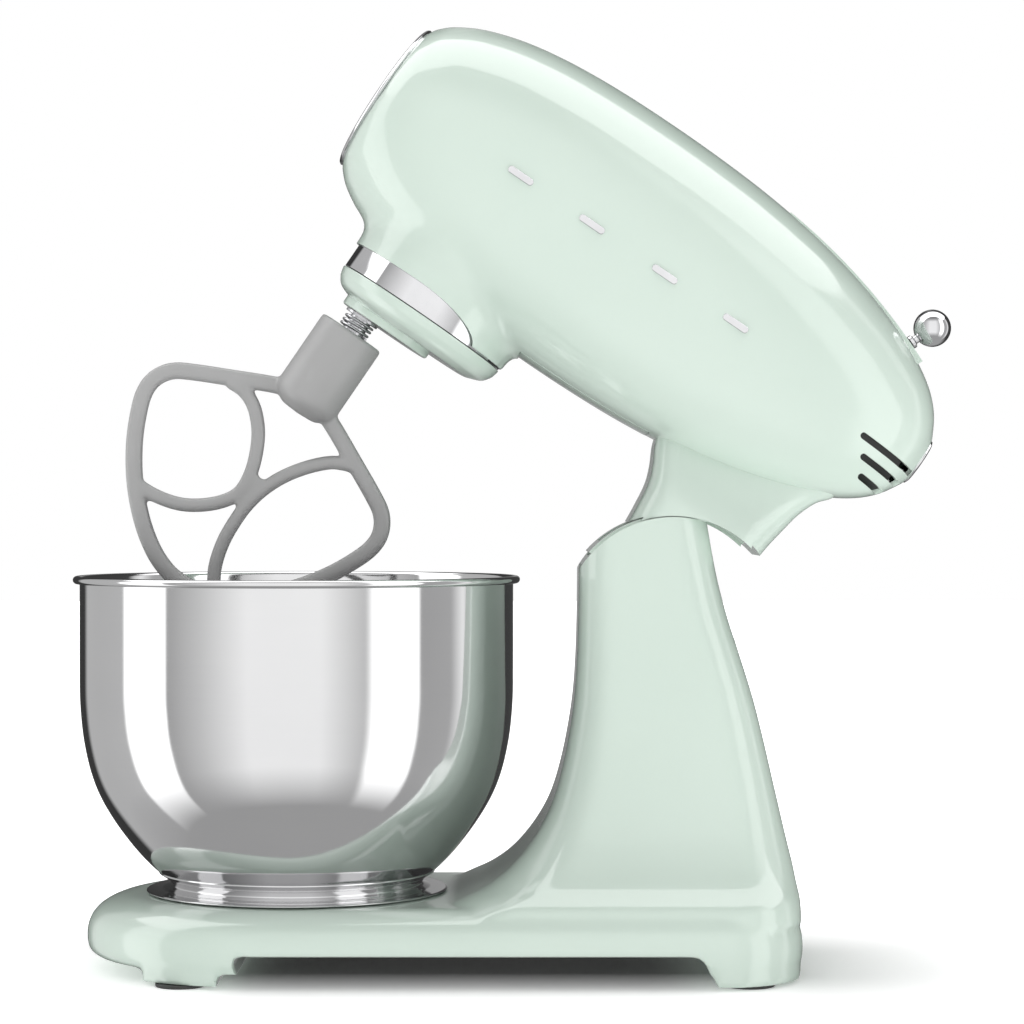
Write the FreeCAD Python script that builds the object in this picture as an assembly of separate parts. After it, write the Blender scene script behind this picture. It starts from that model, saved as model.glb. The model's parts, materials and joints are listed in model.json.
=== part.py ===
import FreeCAD, Part
import math
import os

V = FreeCAD.Vector

# A tilt-head stand mixer on its feet. Lengths in mm, angles in degrees.
# +Z is up and the front of the mixer faces -X. The working frame has x = 0 on the bowl's axis and
# z = 0 on the worktop; every sub-part is moved back by origin_x when it is written.
# Head parts are drawn with the head closed and level, then tilted open about the hinge.

head_tilt = 34.4            # how far the open head leans back
hinge_x = 184.6             # hinge pin behind the bowl's axis
hinge_z = 169.1             # and above the worktop
hinge_arc = 53.0            # radius of the column's top about the hinge pin

bowl_rim = 110.5            # bowl: outer radius over the rolled rim
bowl_radius = 107.1
bowl_wall = 1.2
bowl_floor = 41.0           # underside of the bowl's floor
bowl_top = 193.0
foot_radius = 74.5

base_front = 103.5          # base: front end ahead of the bowl's axis
base_rear = 246.0
base_half = 88.0
base_top = 37.0
skirt_bottom = 7.0
arch_top = 16.0
pad_height = 1.5
cast_wall = 3.5

head_z = 305.0              # height of the closed head's long axis
head_wall = 2.6
drive_x = -2.6              # axis of the planetary drive
beater_x = -27.0            # axis of the beater shaft
motor_x = 63.4
hub_radius = 47.5
disc_radius = 46.2
disc_top = 224.6

track_x = 91.8              # centre of the arc that the speed lever follows
track_z = 61.2
track_radius = 309.8
knob_radius = 9.3

fit = 0.05                  # radial clearance of a running fit

foot_spans = [(-69.0, -32.0), (202.0, base_rear)]     # front and rear feet along x
plate_screws = [(-14, 66), (-14, -66), (90, 66), (90, -66), (186, 66), (186, -66)]
well_radius = 58.4          # round well under the bowl, for the seat ring
well_floor = 28.0
gland_radius = 7.5          # cord gland in the rear wall
gland_z = 52.0
gland_span = (233.6, 245.4)
cord_bore = 3.6

pin_radius = 6.0            # hinge pin and its bushes
bush_outer = 8.0
slot_front = -40.5          # slot for the hinge arm in the column's top, in degrees from upright
slot_rear = 17.5
slot_half = 18.6
arm_front = -38.4           # hinge arm, in degrees from upright with the head closed
arm_rear = -18.4
arm_half = 17.0

button_radius = 9.0         # release button on the column's rear face
button_centre = V(217.3, 0, 154.0)
button_axis = V(0.966, 0, 0.259)
pawl_x = 190.0              # latch pawl and its pivot
pawl_z = 131.0
pawl_hub = 5.0
pawl_pin_radius = 3.0

vent_rows = [(207.0, 297.0), (213.5, 288.6), (219.0, 280.3)]    # front end and height of each slot
vent_end = 237.0
# x of each bar on the flanks, and half the head's height there
stud_places = [(2.0, 67.2), (43.0, 68.6), (85.0, 67.8), (126.0, 64.4)]
lever_angle = 21.25         # parked place of the speed lever along its arc, in degrees

case_floor = 257.5          # gear case
case_top = 290.0
idler_x = drive_x + 36.0    # half of the planet gear's and the idler's teeth together, at module 1
idler_pin_radius = 4.0
planet_teeth = 60
idler_small_teeth = 12
idler_large_teeth = 48
motor_teeth = 12
ring_teeth = 53             # fixed ring gear and the beater's pinion
pinion_teeth = 14
ring_module = 1.25

beater_hub_top = 199.4
beater_hub_radius = 17.2
beater_thick = 7.0
beater_frame = 7.8          # width of the beater's outer frame and of its inner bars
beater_inner = 6.4
lift_room = 5.5             # room to push the beater up against its spring
shaft_end = 168.0           # lower end of the beater shaft
pin_z = 188.0               # cross pin that drives the beater


# ---------------------------------------------------------------- helpers

def cylinder(radius, x, y, z0, z1):
    """Upright cylinder between two heights."""
    return Part.makeCylinder(radius, z1 - z0, V(x, y, z0))


def ring(outer, inner, x, y, z0, z1):
    """Upright ring between two heights."""
    return cylinder(outer, x, y, z0, z1).cut(cylinder(inner, x, y, z0 - 1, z1 + 1))


def bar_y(radius, x, z, y0, y1):
    """Cylinder along Y."""
    return Part.makeCylinder(radius, y1 - y0, V(x, y0, z), V(0, 1, 0))


def block(x0, x1, y0, y1, z0, z1):
    """Box between two corners."""
    return Part.makeBox(x1 - x0, y1 - y0, z1 - z0, V(x0, y0, z0))


def both_sides(shape):
    """The shape and its mirror image across the middle plane."""
    return shape.fuse(shape.mirror(V(0, 0, 0), V(0, 1, 0)))


def group(shapes):
    """Several separate solids as one node."""
    return Part.makeCompound(shapes)


def fuse_all(shapes):
    """One solid out of several."""
    whole = shapes[0].multiFuse(shapes[1:])
    return whole.removeSplitter()


def revolve(points, x):
    """Solid of revolution about the upright axis at x, from (radius, z) points."""
    wire = Part.makePolygon([V(x + r, 0, z) for r, z in points] + [V(x + points[0][0], 0, points[0][1])])
    return Part.Face(wire).revolve(V(x, 0, 0), V(0, 0, 1), 360)


def profile_plate(points, y0, y1):
    """Flat plate from an outline of (x, z) points, between two y."""
    wire = Part.makePolygon([V(x, y0, z) for x, z in points] + [V(points[0][0], y0, points[0][1])])
    return Part.Face(wire).extrude(V(0, y1 - y0, 0))


def sector(x, z, inner, outer, start, end, y0, y1):
    """Part of a ring about a Y axis. Angles are measured from straight up, positive to the rear."""
    ring_solid = bar_y(outer, x, z, y0, y1).cut(bar_y(inner, x, z, y0 - 1, y1 + 1))
    reach = outer * 1.5
    middle = (start + end) / 2
    turns = [math.radians(angle) for angle in (start, middle, end)]
    rim = [V(x + reach * math.sin(a), y0, z + reach * math.cos(a)) for a in turns]
    wedge = Part.Face(Part.makePolygon([V(x, y0, z)] + rim + [V(x, y0, z)])).extrude(V(0, y1 - y0, 0))
    return ring_solid.common(wedge)


def spline_wire(points, closed=False):
    """Wire of one smooth curve through the points."""
    curve = Part.BSplineCurve()
    curve.interpolate(points, PeriodicFlag=closed)
    return curve.toShape()


def rounded_section(z, x_front, x_rear, half, radius):
    """Level outline of the column or the neck: a rectangle with four round corners."""
    x0, x1 = x_front, x_rear
    r = radius
    k = r * (1 - math.sqrt(0.5))
    edges = [
        Part.LineSegment(V(x0 + r, -half, z), V(x1 - r, -half, z)),
        Part.Arc(V(x1 - r, -half, z), V(x1 - k, -half + k, z), V(x1, -half + r, z)),
        Part.LineSegment(V(x1, -half + r, z), V(x1, half - r, z)),
        Part.Arc(V(x1, half - r, z), V(x1 - k, half - k, z), V(x1 - r, half, z)),
        Part.LineSegment(V(x1 - r, half, z), V(x0 + r, half, z)),
        Part.Arc(V(x0 + r, half, z), V(x0 + k, half - k, z), V(x0, half - r, z)),
        Part.LineSegment(V(x0, half - r, z), V(x0, -half + r, z)),
        Part.Arc(V(x0, -half + r, z), V(x0 + k, -half + k, z), V(x0 + r, -half, z)),
    ]
    return Part.Wire([edge.toShape() for edge in edges])


def involute(angle):
    return math.tan(angle) - angle


def gear_outline(teeth, module, slack, short=0.85, deep=1.25):
    """Points of a spur gear about the origin, a tooth on +X. Slack thins each flank."""
    pitch_r = teeth * module / 2
    base_r = pitch_r * math.cos(math.radians(20))
    root_r = pitch_r - deep * module
    tip_r = pitch_r + short * module
    start_r = max(base_r, root_r)
    points = []
    for tooth in range(teeth):
        middle = 2 * math.pi * tooth / teeth
        flank = []
        for step in range(4):
            r = start_r + (tip_r - start_r) * step / 3
            pressure = math.acos(min(1.0, base_r / r))
            half = math.pi / (2 * teeth) + involute(math.radians(20)) - involute(pressure) - slack / pitch_r
            flank.append((r, half))
        root_half = flank[0][1]
        side = [(root_r, root_half)] if root_r < start_r else []
        side += flank
        for r, half in side:
            points.append((r * math.cos(middle - half), r * math.sin(middle - half)))
        for r, half in reversed(side):
            points.append((r * math.cos(middle + half), r * math.sin(middle + half)))
    return points


def gear(teeth, module, x, z0, z1, bore, turn=0.0, slack=0.06, short=0.85, deep=1.25):
    """Spur gear on an upright axis."""
    outline = [V(px, py, 0) for px, py in gear_outline(teeth, module, slack, short, deep)]
    blank = Part.Face(Part.makePolygon(outline + [outline[0]])).extrude(V(0, 0, z1 - z0))
    if bore:
        blank = blank.cut(cylinder(bore, 0, 0, -1, z1 - z0 + 1))
    blank.rotate(V(0, 0, 0), V(0, 0, 1), turn)
    blank.translate(V(x, 0, z0))
    return blank


# ---------------------------------------------------------------- base and column

column_sections = [
    # z, front x, rear x, half width, corner radius
    (30.0, 60.0, 245.5, 83.0, 30.0),
    (37.0, 77.0, 245.0, 81.0, 30.0),
    (41.0, 86.0, 244.5, 77.0, 28.0),
    (46.0, 96.0, 243.5, 72.0, 27.0),
    (54.5, 107.0, 242.0, 66.0, 26.0),
    (68.0, 118.0, 239.0, 59.0, 24.0),
    (82.0, 125.6, 236.0, 54.0, 23.0),
    (98.0, 130.6, 232.5, 50.0, 22.0),
    (116.0, 134.4, 228.5, 46.5, 21.0),
    (134.0, 137.0, 224.0, 44.0, 20.0),
    (152.0, 138.3, 218.5, 42.0, 19.0),
    (174.0, 139.0, 211.5, 40.5, 18.5),
    (196.0, 139.3, 206.0, 39.5, 18.0),
    (228.0, 139.5, 200.5, 38.5, 18.0),
]


def column_loft(inset):
    wires = []
    for z, x_front, x_rear, half, radius in column_sections:
        front = x_front + inset
        rear = x_rear - inset
        wires.append(rounded_section(z, front, rear, half - inset, radius - inset * 0.8))
    return Part.makeLoft(wires, True, False)


def column(inset):
    """The column, its top cut to the arc about the hinge pin."""
    body = column_loft(inset)
    above = block(100, 260, -60, 60, hinge_z, 300)
    above = above.cut(bar_y(hinge_arc - inset, hinge_x, hinge_z, -70, 70))
    return body.cut(above)


def base_plan(inset, z):
    """Level outline of the base: a half ellipse in front and round corners behind."""
    half = base_half - inset
    join = -8.0
    corner = 40.0 - inset
    rear = base_rear - inset
    k = corner * (1 - math.sqrt(0.5))
    ellipse = Part.Ellipse(V(join, 0, z), base_front + join - inset, half)
    nose = Part.ArcOfEllipse(ellipse, math.pi / 2, 3 * math.pi / 2)
    start = nose.StartPoint
    end = nose.EndPoint
    edges = [
        nose,
        Part.LineSegment(end, V(rear - corner, -half, z)),
        Part.Arc(V(rear - corner, -half, z), V(rear - k, -half + k, z), V(rear, -half + corner, z)),
        Part.LineSegment(V(rear, -half + corner, z), V(rear, half - corner, z)),
        Part.Arc(V(rear, half - corner, z), V(rear - k, half - k, z), V(rear - corner, half, z)),
        Part.LineSegment(V(rear - corner, half, z), start),
    ]
    return Part.Wire([edge.toShape() for edge in edges])


def slab(inset, z0, z1):
    return Part.Face(base_plan(inset, z0)).extrude(V(0, 0, z1 - z0))


def level_edges(shape, z):
    """Edges of the shape that lie at one height."""
    return [e for e in shape.Edges if abs(e.BoundBox.ZMin - z) < 0.01 and abs(e.BoundBox.ZMax - z) < 0.01]


def base_casting():
    body = slab(0, skirt_bottom, base_top)
    body = body.makeFillet(9.0, level_edges(body, base_top))
    body = body.makeFillet(5.0, level_edges(body, skirt_bottom))
    arch = block(-26, 196, -100, 100, 0, arch_top)
    arch = arch.makeFillet(6.0, [e for e in arch.Edges if e.BoundBox.YLength > 190 and e.BoundBox.ZMin > 1])
    body = body.cut(arch)
    lobes = []
    for x0, x1 in foot_spans:
        lobe = slab(1.0, pad_height, 20).common(block(x0, x1, 46, 100, 0, 20))
        lobes.append(both_sides(lobe))
    body = fuse_all([body] + lobes + [column(0)])
    hollow = slab(cast_wall, 20, base_top - cast_wall).fuse(column(cast_wall))
    hollow = hollow.cut(block(-200, 300, -100, 100, 0, 20))
    body = body.cut(hollow)
    inside = slab(1.0, 20, base_top - 1.0).fuse(column(1.0))
    bosses = [cylinder(5.0, x, y, 20, 100).common(inside) for x, y in plate_screws]
    body = body.fuse(group(bosses)).cut(group([cylinder(1.9, x, y, 19, 27) for x, y in plate_screws]))
    # The hinge webs stand across the column's hollow and carry the bushes.
    web = both_sides(block(130, 225, 26, 34, 135, 193)).common(column(cast_wall - 0.5))
    body = body.fuse(web)
    well = cylinder(well_radius + 3, 0, 0, 24, base_top - 1)
    body = body.fuse(well.cut(block(-200, 200, -100, 100, 0, 20)))
    body = body.cut(cylinder(well_radius, 0, 0, well_floor, 60))
    body = body.cut(block(-200, 300, -82, 82, arch_top, 20.1).common(slab(cast_wall + 1.5, 0, 30)))
    body = body.cut(bar_y(bush_outer, hinge_x, hinge_z, -34.6, 34.6))
    body = body.cut(sector(hinge_x, hinge_z, 44, 60, slot_front, slot_rear, -slot_half, slot_half))
    body = body.cut(cylinder_along(button_radius + 0.3, button_centre, button_axis, -12, 10))
    body = body.cut(rubber_feet())
    body = body.cut(Part.makeCylinder(gland_radius, 30, V(232, 0, gland_z), V(1, 0, 0)))
    return body.removeSplitter()


def cylinder_along(radius, centre, axis, start, end):
    """Cylinder about any axis through a centre, between two distances along it."""
    return Part.makeCylinder(radius, end - start, centre + axis * start, axis)


def bottom_plate():
    plate = slab(cast_wall + 1.8, arch_top + 1.2, 19.8)
    plate = plate.common(block(-200, 300, -81.8, 81.8, 0, 30))
    holes = [cylinder(2.2, x, y, 0, 30) for x, y in plate_screws]
    return plate.cut(group(holes))


def bottom_screws():
    screws = []
    for x, y in plate_screws:
        head = cylinder(3.8, x, y, arch_top - 0.8, arch_top + 1.2)
        head = head.cut(block(x - 3, x + 3, y - 0.5, y + 0.5, arch_top - 1, arch_top - 0.1))
        screws.append(head.fuse(cylinder(1.9, x, y, arch_top + 1.2, 26)))
    return group(screws)


def rubber_feet():
    """Four rubber pads, recessed into the feet of the casting."""
    pads = []
    for x0, x1 in foot_spans:
        middle = (x0 + min(x1, 236)) / 2
        for y in (-68, 68):
            pad = cylinder(12, middle, y, 0, pad_height)
            pad = pad.makeFillet(0.6, level_edges(pad, 0))
            pads.append(pad.fuse(cylinder(5, middle, y, pad_height, 6)))
    return group(pads)


def seat_ring():
    """Bayonet ring that the bowl's lugs turn under."""
    body = ring(well_radius - 0.4, 45.0, 0, 0, 34.2, base_top)
    notch = block(38, 52, -17, 17, 30, 40)
    for turn in (100, 220, 340):
        cut = notch.copy()
        cut.rotate(V(0, 0, 0), V(0, 0, 1), turn)
        body = body.cut(cut)
    skirt = ring(well_radius - 0.4, 54.0, 0, 0, well_floor, 34.2)
    return body.fuse(skirt).removeSplitter()


def seat_screws():
    screws = []
    for turn in (0, 120, 240):
        x = 55.5 * math.cos(math.radians(turn))
        y = 55.5 * math.sin(math.radians(turn))
        head = cylinder(1.9, x, y, base_top, base_top + 0.5)
        screws.append(head)
    return group(screws)


# ---------------------------------------------------------------- bowl

def bowl():
    wall = bowl_wall
    outer = spline_wire([
        V(60, 0, 41.6), V(69, 0, 48), V(80, 0, 59.5), V(92.5, 0, 76.5),
        V(100, 0, 91.5), V(104.6, 0, 110), V(106.8, 0, 130), V(bowl_radius, 0, 150),
    ])
    inner = spline_wire([
        V(59.4, 0, 42.8), V(68, 0, 48.9), V(79, 0, 60.4), V(91.4, 0, 77.2),
        V(98.8, 0, 92), V(103.4, 0, 110.2), V(105.6, 0, 130.1), V(bowl_radius - wall, 0, 150),
    ])
    bead = 1.9
    bead_x = bowl_rim - bead
    bead_z = bowl_top - bead
    edges = [
        Part.LineSegment(V(0, 0, bowl_floor), V(56, 0, bowl_floor)).toShape(),
        Part.LineSegment(V(56, 0, bowl_floor), V(60, 0, 41.6)).toShape(),
        outer,
        Part.LineSegment(V(bowl_radius, 0, 150), V(bowl_radius, 0, bead_z)).toShape(),
        Part.Arc(V(bowl_radius, 0, bead_z), V(bead_x, 0, bead_z - 1.5), V(bowl_rim, 0, bead_z)).toShape(),
        Part.Arc(V(bowl_rim, 0, bead_z), V(bead_x, 0, bowl_top), V(bowl_radius - wall, 0, bead_z)).toShape(),
        Part.LineSegment(V(bowl_radius - wall, 0, bead_z), V(bowl_radius - wall, 0, 150)).toShape(),
        inner,
        Part.LineSegment(V(59.4, 0, 42.8), V(56, 0, bowl_floor + wall)).toShape(),
        Part.LineSegment(V(56, 0, bowl_floor + wall), V(0, 0, bowl_floor + wall)).toShape(),
        Part.LineSegment(V(0, 0, bowl_floor + wall), V(0, 0, bowl_floor)).toShape(),
    ]
    ordered = Part.__sortEdges__(edges)
    return Part.Face(Part.Wire(ordered)).revolve(V(0, 0, 0), V(0, 0, 1), 360)


def bowl_foot():
    """Spun foot with three bayonet lugs."""
    z = base_top + 0.6
    flare = revolve([(0, z), (foot_radius, z), (foot_radius, z + 1.2), (foot_radius - 3, z + 1.6),
                     (63, z + 3.4), (0, z + 3.4)], 0)
    boss = cylinder(43.5, 0, 0, 30.2, z)
    lugs = []
    for turn in (60, 180, 300):
        lug = ring(49.5, 40, 0, 0, 30.2, 33.8).common(block(38, 52, -14, 14, 30, 34))
        lug.rotate(V(0, 0, 0), V(0, 0, 1), turn)
        lugs.append(lug)
    return fuse_all([flare, boss] + lugs).cut(cylinder(40.0, 0, 0, 20, 45))


# ---------------------------------------------------------------- head, drawn closed and level

head_sections = [
    # x, half height
    (-78.0, 39.5), (-70.0, 47.8), (-55.0, 55.6), (-30.0, 62.8), (5.0, 67.4), (50.0, 68.6), (95.0, 67.2),
    (130.0, 63.8), (160.0, 58.5), (187.0, 51.0), (208.0, 42.6), (224.0, 33.2), (234.0, 24.0), (241.0, 12.8),
]
head_front = head_sections[0][0]
head_rear = head_sections[-1][0]


def head_half_width(x, half_height):
    """Round at both ends and a little slimmer than high between them."""
    middle = 1 - min(1.0, abs(x - 70) / 150.0)
    return half_height * (1.0 - 0.09 * math.sqrt(middle))


def head_section(x, half_height, inset):
    """Section across the head: round above the axis, fuller below it towards the rear."""
    b = half_height - inset
    a = head_half_width(x, half_height) - inset
    below = 2.1 + 1.0 * max(0.0, min(1.0, (x + 60) / 200.0)) * min(1.0, half_height / 45.0)
    points = []
    for step in range(16):
        angle = 2 * math.pi * step / 16
        power = 2.1 if math.sin(angle) >= 0 else below
        c = math.cos(angle)
        s = math.sin(angle)
        y = a * math.copysign(abs(c) ** (2 / power), c)
        z = b * math.copysign(abs(s) ** (2 / power), s)
        points.append(V(x, y, head_z + z))
    return Part.Wire([spline_wire(points, True)])


def ovoid(inset=0.0, front=0.0, rear=0.0):
    """The head's outer form, or one parallel to it further in."""
    wires = []
    for x, half_height in head_sections:
        along = x
        if x == head_front:
            along = x + front
        if x == head_rear:
            along = x - rear
        wires.append(head_section(along, half_height, inset))
    return Part.makeLoft(wires, True, False)


def head_shell():
    outer = ovoid()
    housing = cylinder(hub_radius, drive_x, 0, disc_top + 0.8, 262)
    body = outer.fuse(housing)
    body = body.cut(ovoid(head_wall, 3.0, 3.0))
    body = body.cut(cylinder(hub_radius - 1.3, drive_x, 0, 200, 262))
    body = body.cut(chrome_window())
    body = body.cut(Part.makeCylinder(36.5, 8, V(head_front - 4, 0, head_z), V(1, 0, 0)))
    body = body.cut(cover_blank(0.0))
    body = body.cut(strip_blank())
    body = body.cut(lever_slot())
    body = body.cut(neck_passage())
    body = body.cut(vent_cuts(3.3))
    body = body.cut(Part.makeCylinder(10, 12, V(head_rear - 6, 0, head_z), V(1, 0, 0)))
    return largest(body.removeSplitter())


def largest(shape):
    """The biggest solid of a cut that leaves crumbs."""
    return max(shape.Solids, key=lambda solid: solid.Volume)


def chrome_window():
    """Through the housing's front and sides: a straight top, then a quarter ellipse down to the disc."""
    top = 12.4
    reach = 39.5
    start = -12.0
    base_z = disc_top - 5
    points = [(-80, base_z), (-80, disc_top + top), (start, disc_top + top)]
    for step in range(1, 13):
        angle = math.radians(90 - 90 * step / 12)
        points.append((start + reach * math.cos(angle), disc_top + 0.8 + (top - 0.8) * math.sin(angle)))
    points.append((start + reach, base_z))
    return profile_plate(points, -60, 60)


def chrome_band():
    return ring(hub_radius - 1.5, hub_radius - 3.0, drive_x, 0, disc_top + 0.9, disc_top + 14)


def cover_blank(grow):
    """Underside cover, following the head's form and standing a little proud."""
    plate = ovoid(-0.9).cut(ovoid(head_wall - 0.4))
    return plate.common(block(48 - grow, 122 + grow, -22 - grow, 22 + grow, 220, 262))


def underside_cover():
    return cover_blank(-0.15)


def strip_blank():
    plate = sector(track_x, track_z, track_radius - 2.2, track_radius + 0.9, 5.0, 23.2, -8, 8)
    return plate


def lever_slot():
    return sector(track_x, track_z, track_radius - 20, track_radius + 10, 7.0, 22.2, -2.4, 2.4)


def scale_strip():
    return strip_blank().cut(lever_slot())


def vent_cuts(height):
    cuts = []
    for x, z in vent_rows:
        slot = block(x, vent_end, -60, 60, z - height / 2, z + height / 2)
        slot = slot.cut(block(x - 1, vent_end + 1, -9, 9, z - 5, z + 5))
        cuts.append(slot)
    return group(cuts)


def vent_grilles():
    """Dark louvres behind the slots, one on each side."""
    skin = ovoid(head_wall + 0.1).cut(ovoid(head_wall + 1.9))
    return skin.common(both_sides(block(204, 232, 12, 60, 276, 301)))


neck_sections = [
    # z, front x, rear x, half width, corner radius; the neck narrows to sit against the head
    (160.0, 138.8, 200.4, 38.5, 15.0),
    (196.0, 138.6, 200.6, 38.5, 15.0),
    (212.0, 137.2, 200.6, 38.5, 15.0),
    (221.0, 135.7, 200.9, 37.6, 15.0),
    (229.0, 132.6, 201.9, 34.6, 14.5),
    (238.0, 127.9, 203.6, 30.6, 14.0),
    (249.0, 124.6, 205.9, 26.8, 13.0),
    (259.0, 123.0, 210.0, 24.6, 12.0),
    (266.0, 122.4, 215.4, 24.0, 12.0),
    (290.0, 122.0, 219.0, 24.0, 12.0),
]


def neck_form(inset):
    """The neck's outside, or a form parallel to it, its foot cut to the arc about the hinge pin."""
    wires = []
    for z, x_front, x_rear, half, radius in neck_sections:
        wires.append(rounded_section(z, x_front + inset, x_rear - inset, half - inset, radius - inset * 0.8))
    body = Part.makeLoft(wires, True, True)
    return body.cut(bar_y(hinge_arc + 0.4 + inset, hinge_x, hinge_z, -60, 60))


def neck_casting():
    body = neck_form(0).cut(ovoid(0.0))
    inner = neck_form(4.0)
    body = largest(body)
    passage = sector(hinge_x, hinge_z, 50, 60, -45, -12, -17.6, 17.6)
    body = body.cut(inner).cut(passage)
    body = body.cut(sector(hinge_x, hinge_z, 50, hinge_arc + 1.9, -80, 40, -34.6, 34.6))
    return largest(body.removeSplitter())


def neck_passage():
    """Opening in the shell's underside, inside the neck."""
    return block(142, 184, -19, 19, 225, 272)


def hinge_arm():
    """Swinging arm: hub on the pin, a curved shield that always fills the slot, and a bolting flange."""
    hub = bar_y(14, hinge_x, hinge_z, -24, 24)
    web = sector(hinge_x, hinge_z, 10, 64, arm_front, arm_rear, -arm_half, arm_half)
    shield = sector(hinge_x, hinge_z, 37.5, 41, arm_front - 42, arm_rear, -21, 21)
    rib = sector(hinge_x, hinge_z, 10, 38, arm_front - 42, arm_front - 36, -arm_half, arm_half)
    flange = block(143, 182, -arm_half, arm_half, 229, 233.5)
    gusset = profile_plate([(147, 219), (176, 229), (176, 232), (147, 232)], -arm_half, arm_half)
    body = fuse_all([hub, web, shield, rib, flange, gusset])
    body = body.cut(bar_y(pin_radius + fit, hinge_x, hinge_z, -30, 30))
    notch = profile_plate([(hinge_x - 2.5, hinge_z - 16), (hinge_x + 2.5, hinge_z - 16),
                           (hinge_x + 1, hinge_z - 11.5), (hinge_x - 1, hinge_z - 11.5)], -6, 6)
    for turn in (0.0, head_tilt):
        cut = notch.copy()
        cut.rotate(V(hinge_x, 0, hinge_z), V(0, 1, 0), -turn)
        body = body.cut(cut)
    return body.removeSplitter()


# ---------------------------------------------------------------- base fittings

def hinge_pin():
    return bar_y(pin_radius, hinge_x, hinge_z, -36.6, 36.6)


def hinge_bushes():
    """Flanged bushes pressed into the hinge webs."""
    bush = bar_y(bush_outer, hinge_x, hinge_z, 24.6, 34.0).fuse(bar_y(10.0, hinge_x, hinge_z, 24.6, 26.0))
    bush = bush.cut(bar_y(pin_radius, hinge_x, hinge_z, -40, 40)).removeSplitter()
    return both_sides_apart(bush)


def hinge_clips():
    """A circlip at each end of the hinge pin."""
    clips = []
    for side in (-1, 1):
        y0, y1 = sorted((side * 34.8, side * 35.8))
        clip = bar_y(8.6, hinge_x, hinge_z, y0, y1).cut(bar_y(pin_radius, hinge_x, hinge_z, y0 - 1, y1 + 1))
        clips.append(clip.cut(block(hinge_x - 2, hinge_x + 2, y0 - 1, y1 + 1, hinge_z - 12, hinge_z)))
    return group(clips)


def column_cover():
    """Curved cover plate on top of the column, slotted for the hinge arm."""
    plate = sector(hinge_x, hinge_z, hinge_arc, hinge_arc + 1.3, -48.5, 17.8, -33.0, 33.0)
    return plate.cut(sector(hinge_x, hinge_z, 44, 60, slot_front, slot_rear, -slot_half, slot_half))


def release_button():
    """Push button that lets the head go, with a stem that meets the pawl."""
    cap = cylinder_along(button_radius, button_centre, button_axis, -4.5, 1.2)
    stem = cylinder_along(3.0, button_centre, button_axis, -14.5, -3.0)
    return cap.fuse(stem)


def coil_spring(radius, wire_radius, pitch, height):
    """Helical spring about Z from z = 0, drawn with an eight-sided wire."""
    corners = []
    for step in range(9):
        angle = math.radians(45 * step)
        corners.append(V(radius + wire_radius * math.cos(angle), 0, wire_radius * math.sin(angle)))
    helix = Part.Wire(Part.makeHelix(pitch, height, radius))
    return helix.makePipeShell([Part.makePolygon(corners)], True, True)


def button_spring():
    """Coil spring behind the button."""
    coil = coil_spring(5.0, 0.45, 2.0, 7.6)
    turn = FreeCAD.Rotation(V(0, 0, 1), button_axis)
    coil.Placement = FreeCAD.Placement(button_centre + button_axis * -12.8, turn)
    return coil


def button_seat():
    """Bracket behind the button that its spring pushes on, fixed to the column's walls."""
    plate = cylinder_along(9.6, button_centre, button_axis, -15.3, -13.4)
    strut = block(198.5, 202.0, -25.9, 25.9, 156.8, 158.3)
    seat = plate.fuse(strut).cut(cylinder_along(3.3, button_centre, button_axis, -20, 0))
    return seat


def latch_pawl():
    """Lever that drops into the hinge arm's notches. It stands just clear of them here."""
    hub = bar_y(pawl_hub, pawl_x, pawl_z, -5, 5)
    finger = profile_plate([(184.0, 132), (189.5, 130), (188.4, 145), (186.4, 154.2), (184.4, 154.2),
                            (183.0, 150), (184.0, 140)], -4, 4)
    tail = profile_plate([(189, 127.5), (194, 131), (203.0, 146.0), (201.2, 148.6), (198.8, 147.0),
                          (189, 135)], -4, 4)
    body = fuse_all([hub, finger, tail])
    return body.cut(bar_y(pawl_pin_radius + fit, pawl_x, pawl_z, -10, 10))


def pawl_pin():
    """Pivot pin of the pawl, between the column's side walls."""
    return bar_y(pawl_pin_radius, pawl_x, pawl_z, -33.9, 33.9)


def cord_gland():
    """Rubber gland in the rear of the base, where a mains cord would leave."""
    x0, x1 = gland_span
    body = Part.makeCylinder(gland_radius, x1 - x0, V(x0, 0, gland_z), V(1, 0, 0))
    flange = Part.makeCylinder(gland_radius + 2, 2, V(x0, 0, gland_z), V(1, 0, 0))
    return body.fuse(flange).cut(Part.makeCylinder(cord_bore, 40, V(x0 - 5, 0, gland_z), V(1, 0, 0)))


def control_board():
    """Motor control board on the bottom plate, with its larger components."""
    board = block(120, 190, -30, 30, 24, 25.6)
    posts = [cylinder(3, x, y, 19.8, 24) for x in (126, 184) for y in (-24, 24)]
    parts = [block(130, 150, -20, 4, 25.6, 37), block(174, 184, -6, 14, 25.6, 33)]
    parts += [cylinder(7, 165, y, 25.6, 44) for y in (-8, 12)]
    return fuse_all([board] + posts + parts)


def safety_switch():
    """Switch that stops the motor when the head is open, on one hinge web."""
    return block(160, 172, 34.1, 36.9, 150, 158).fuse(cylinder(1.2, 165, 35.5, 158, 160.5))


# ---------------------------------------------------------------- head fittings

def front_ring():
    """Thin bright ring round the front cover."""
    body = Part.makeCylinder(39.9, 2.0, V(head_front - 1.4, 0, head_z), V(1, 0, 0))
    body = body.cut(Part.makeCylinder(37.4, 8, V(head_front - 3, 0, head_z), V(1, 0, 0)))
    return body.cut(ovoid(0.0))


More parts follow.
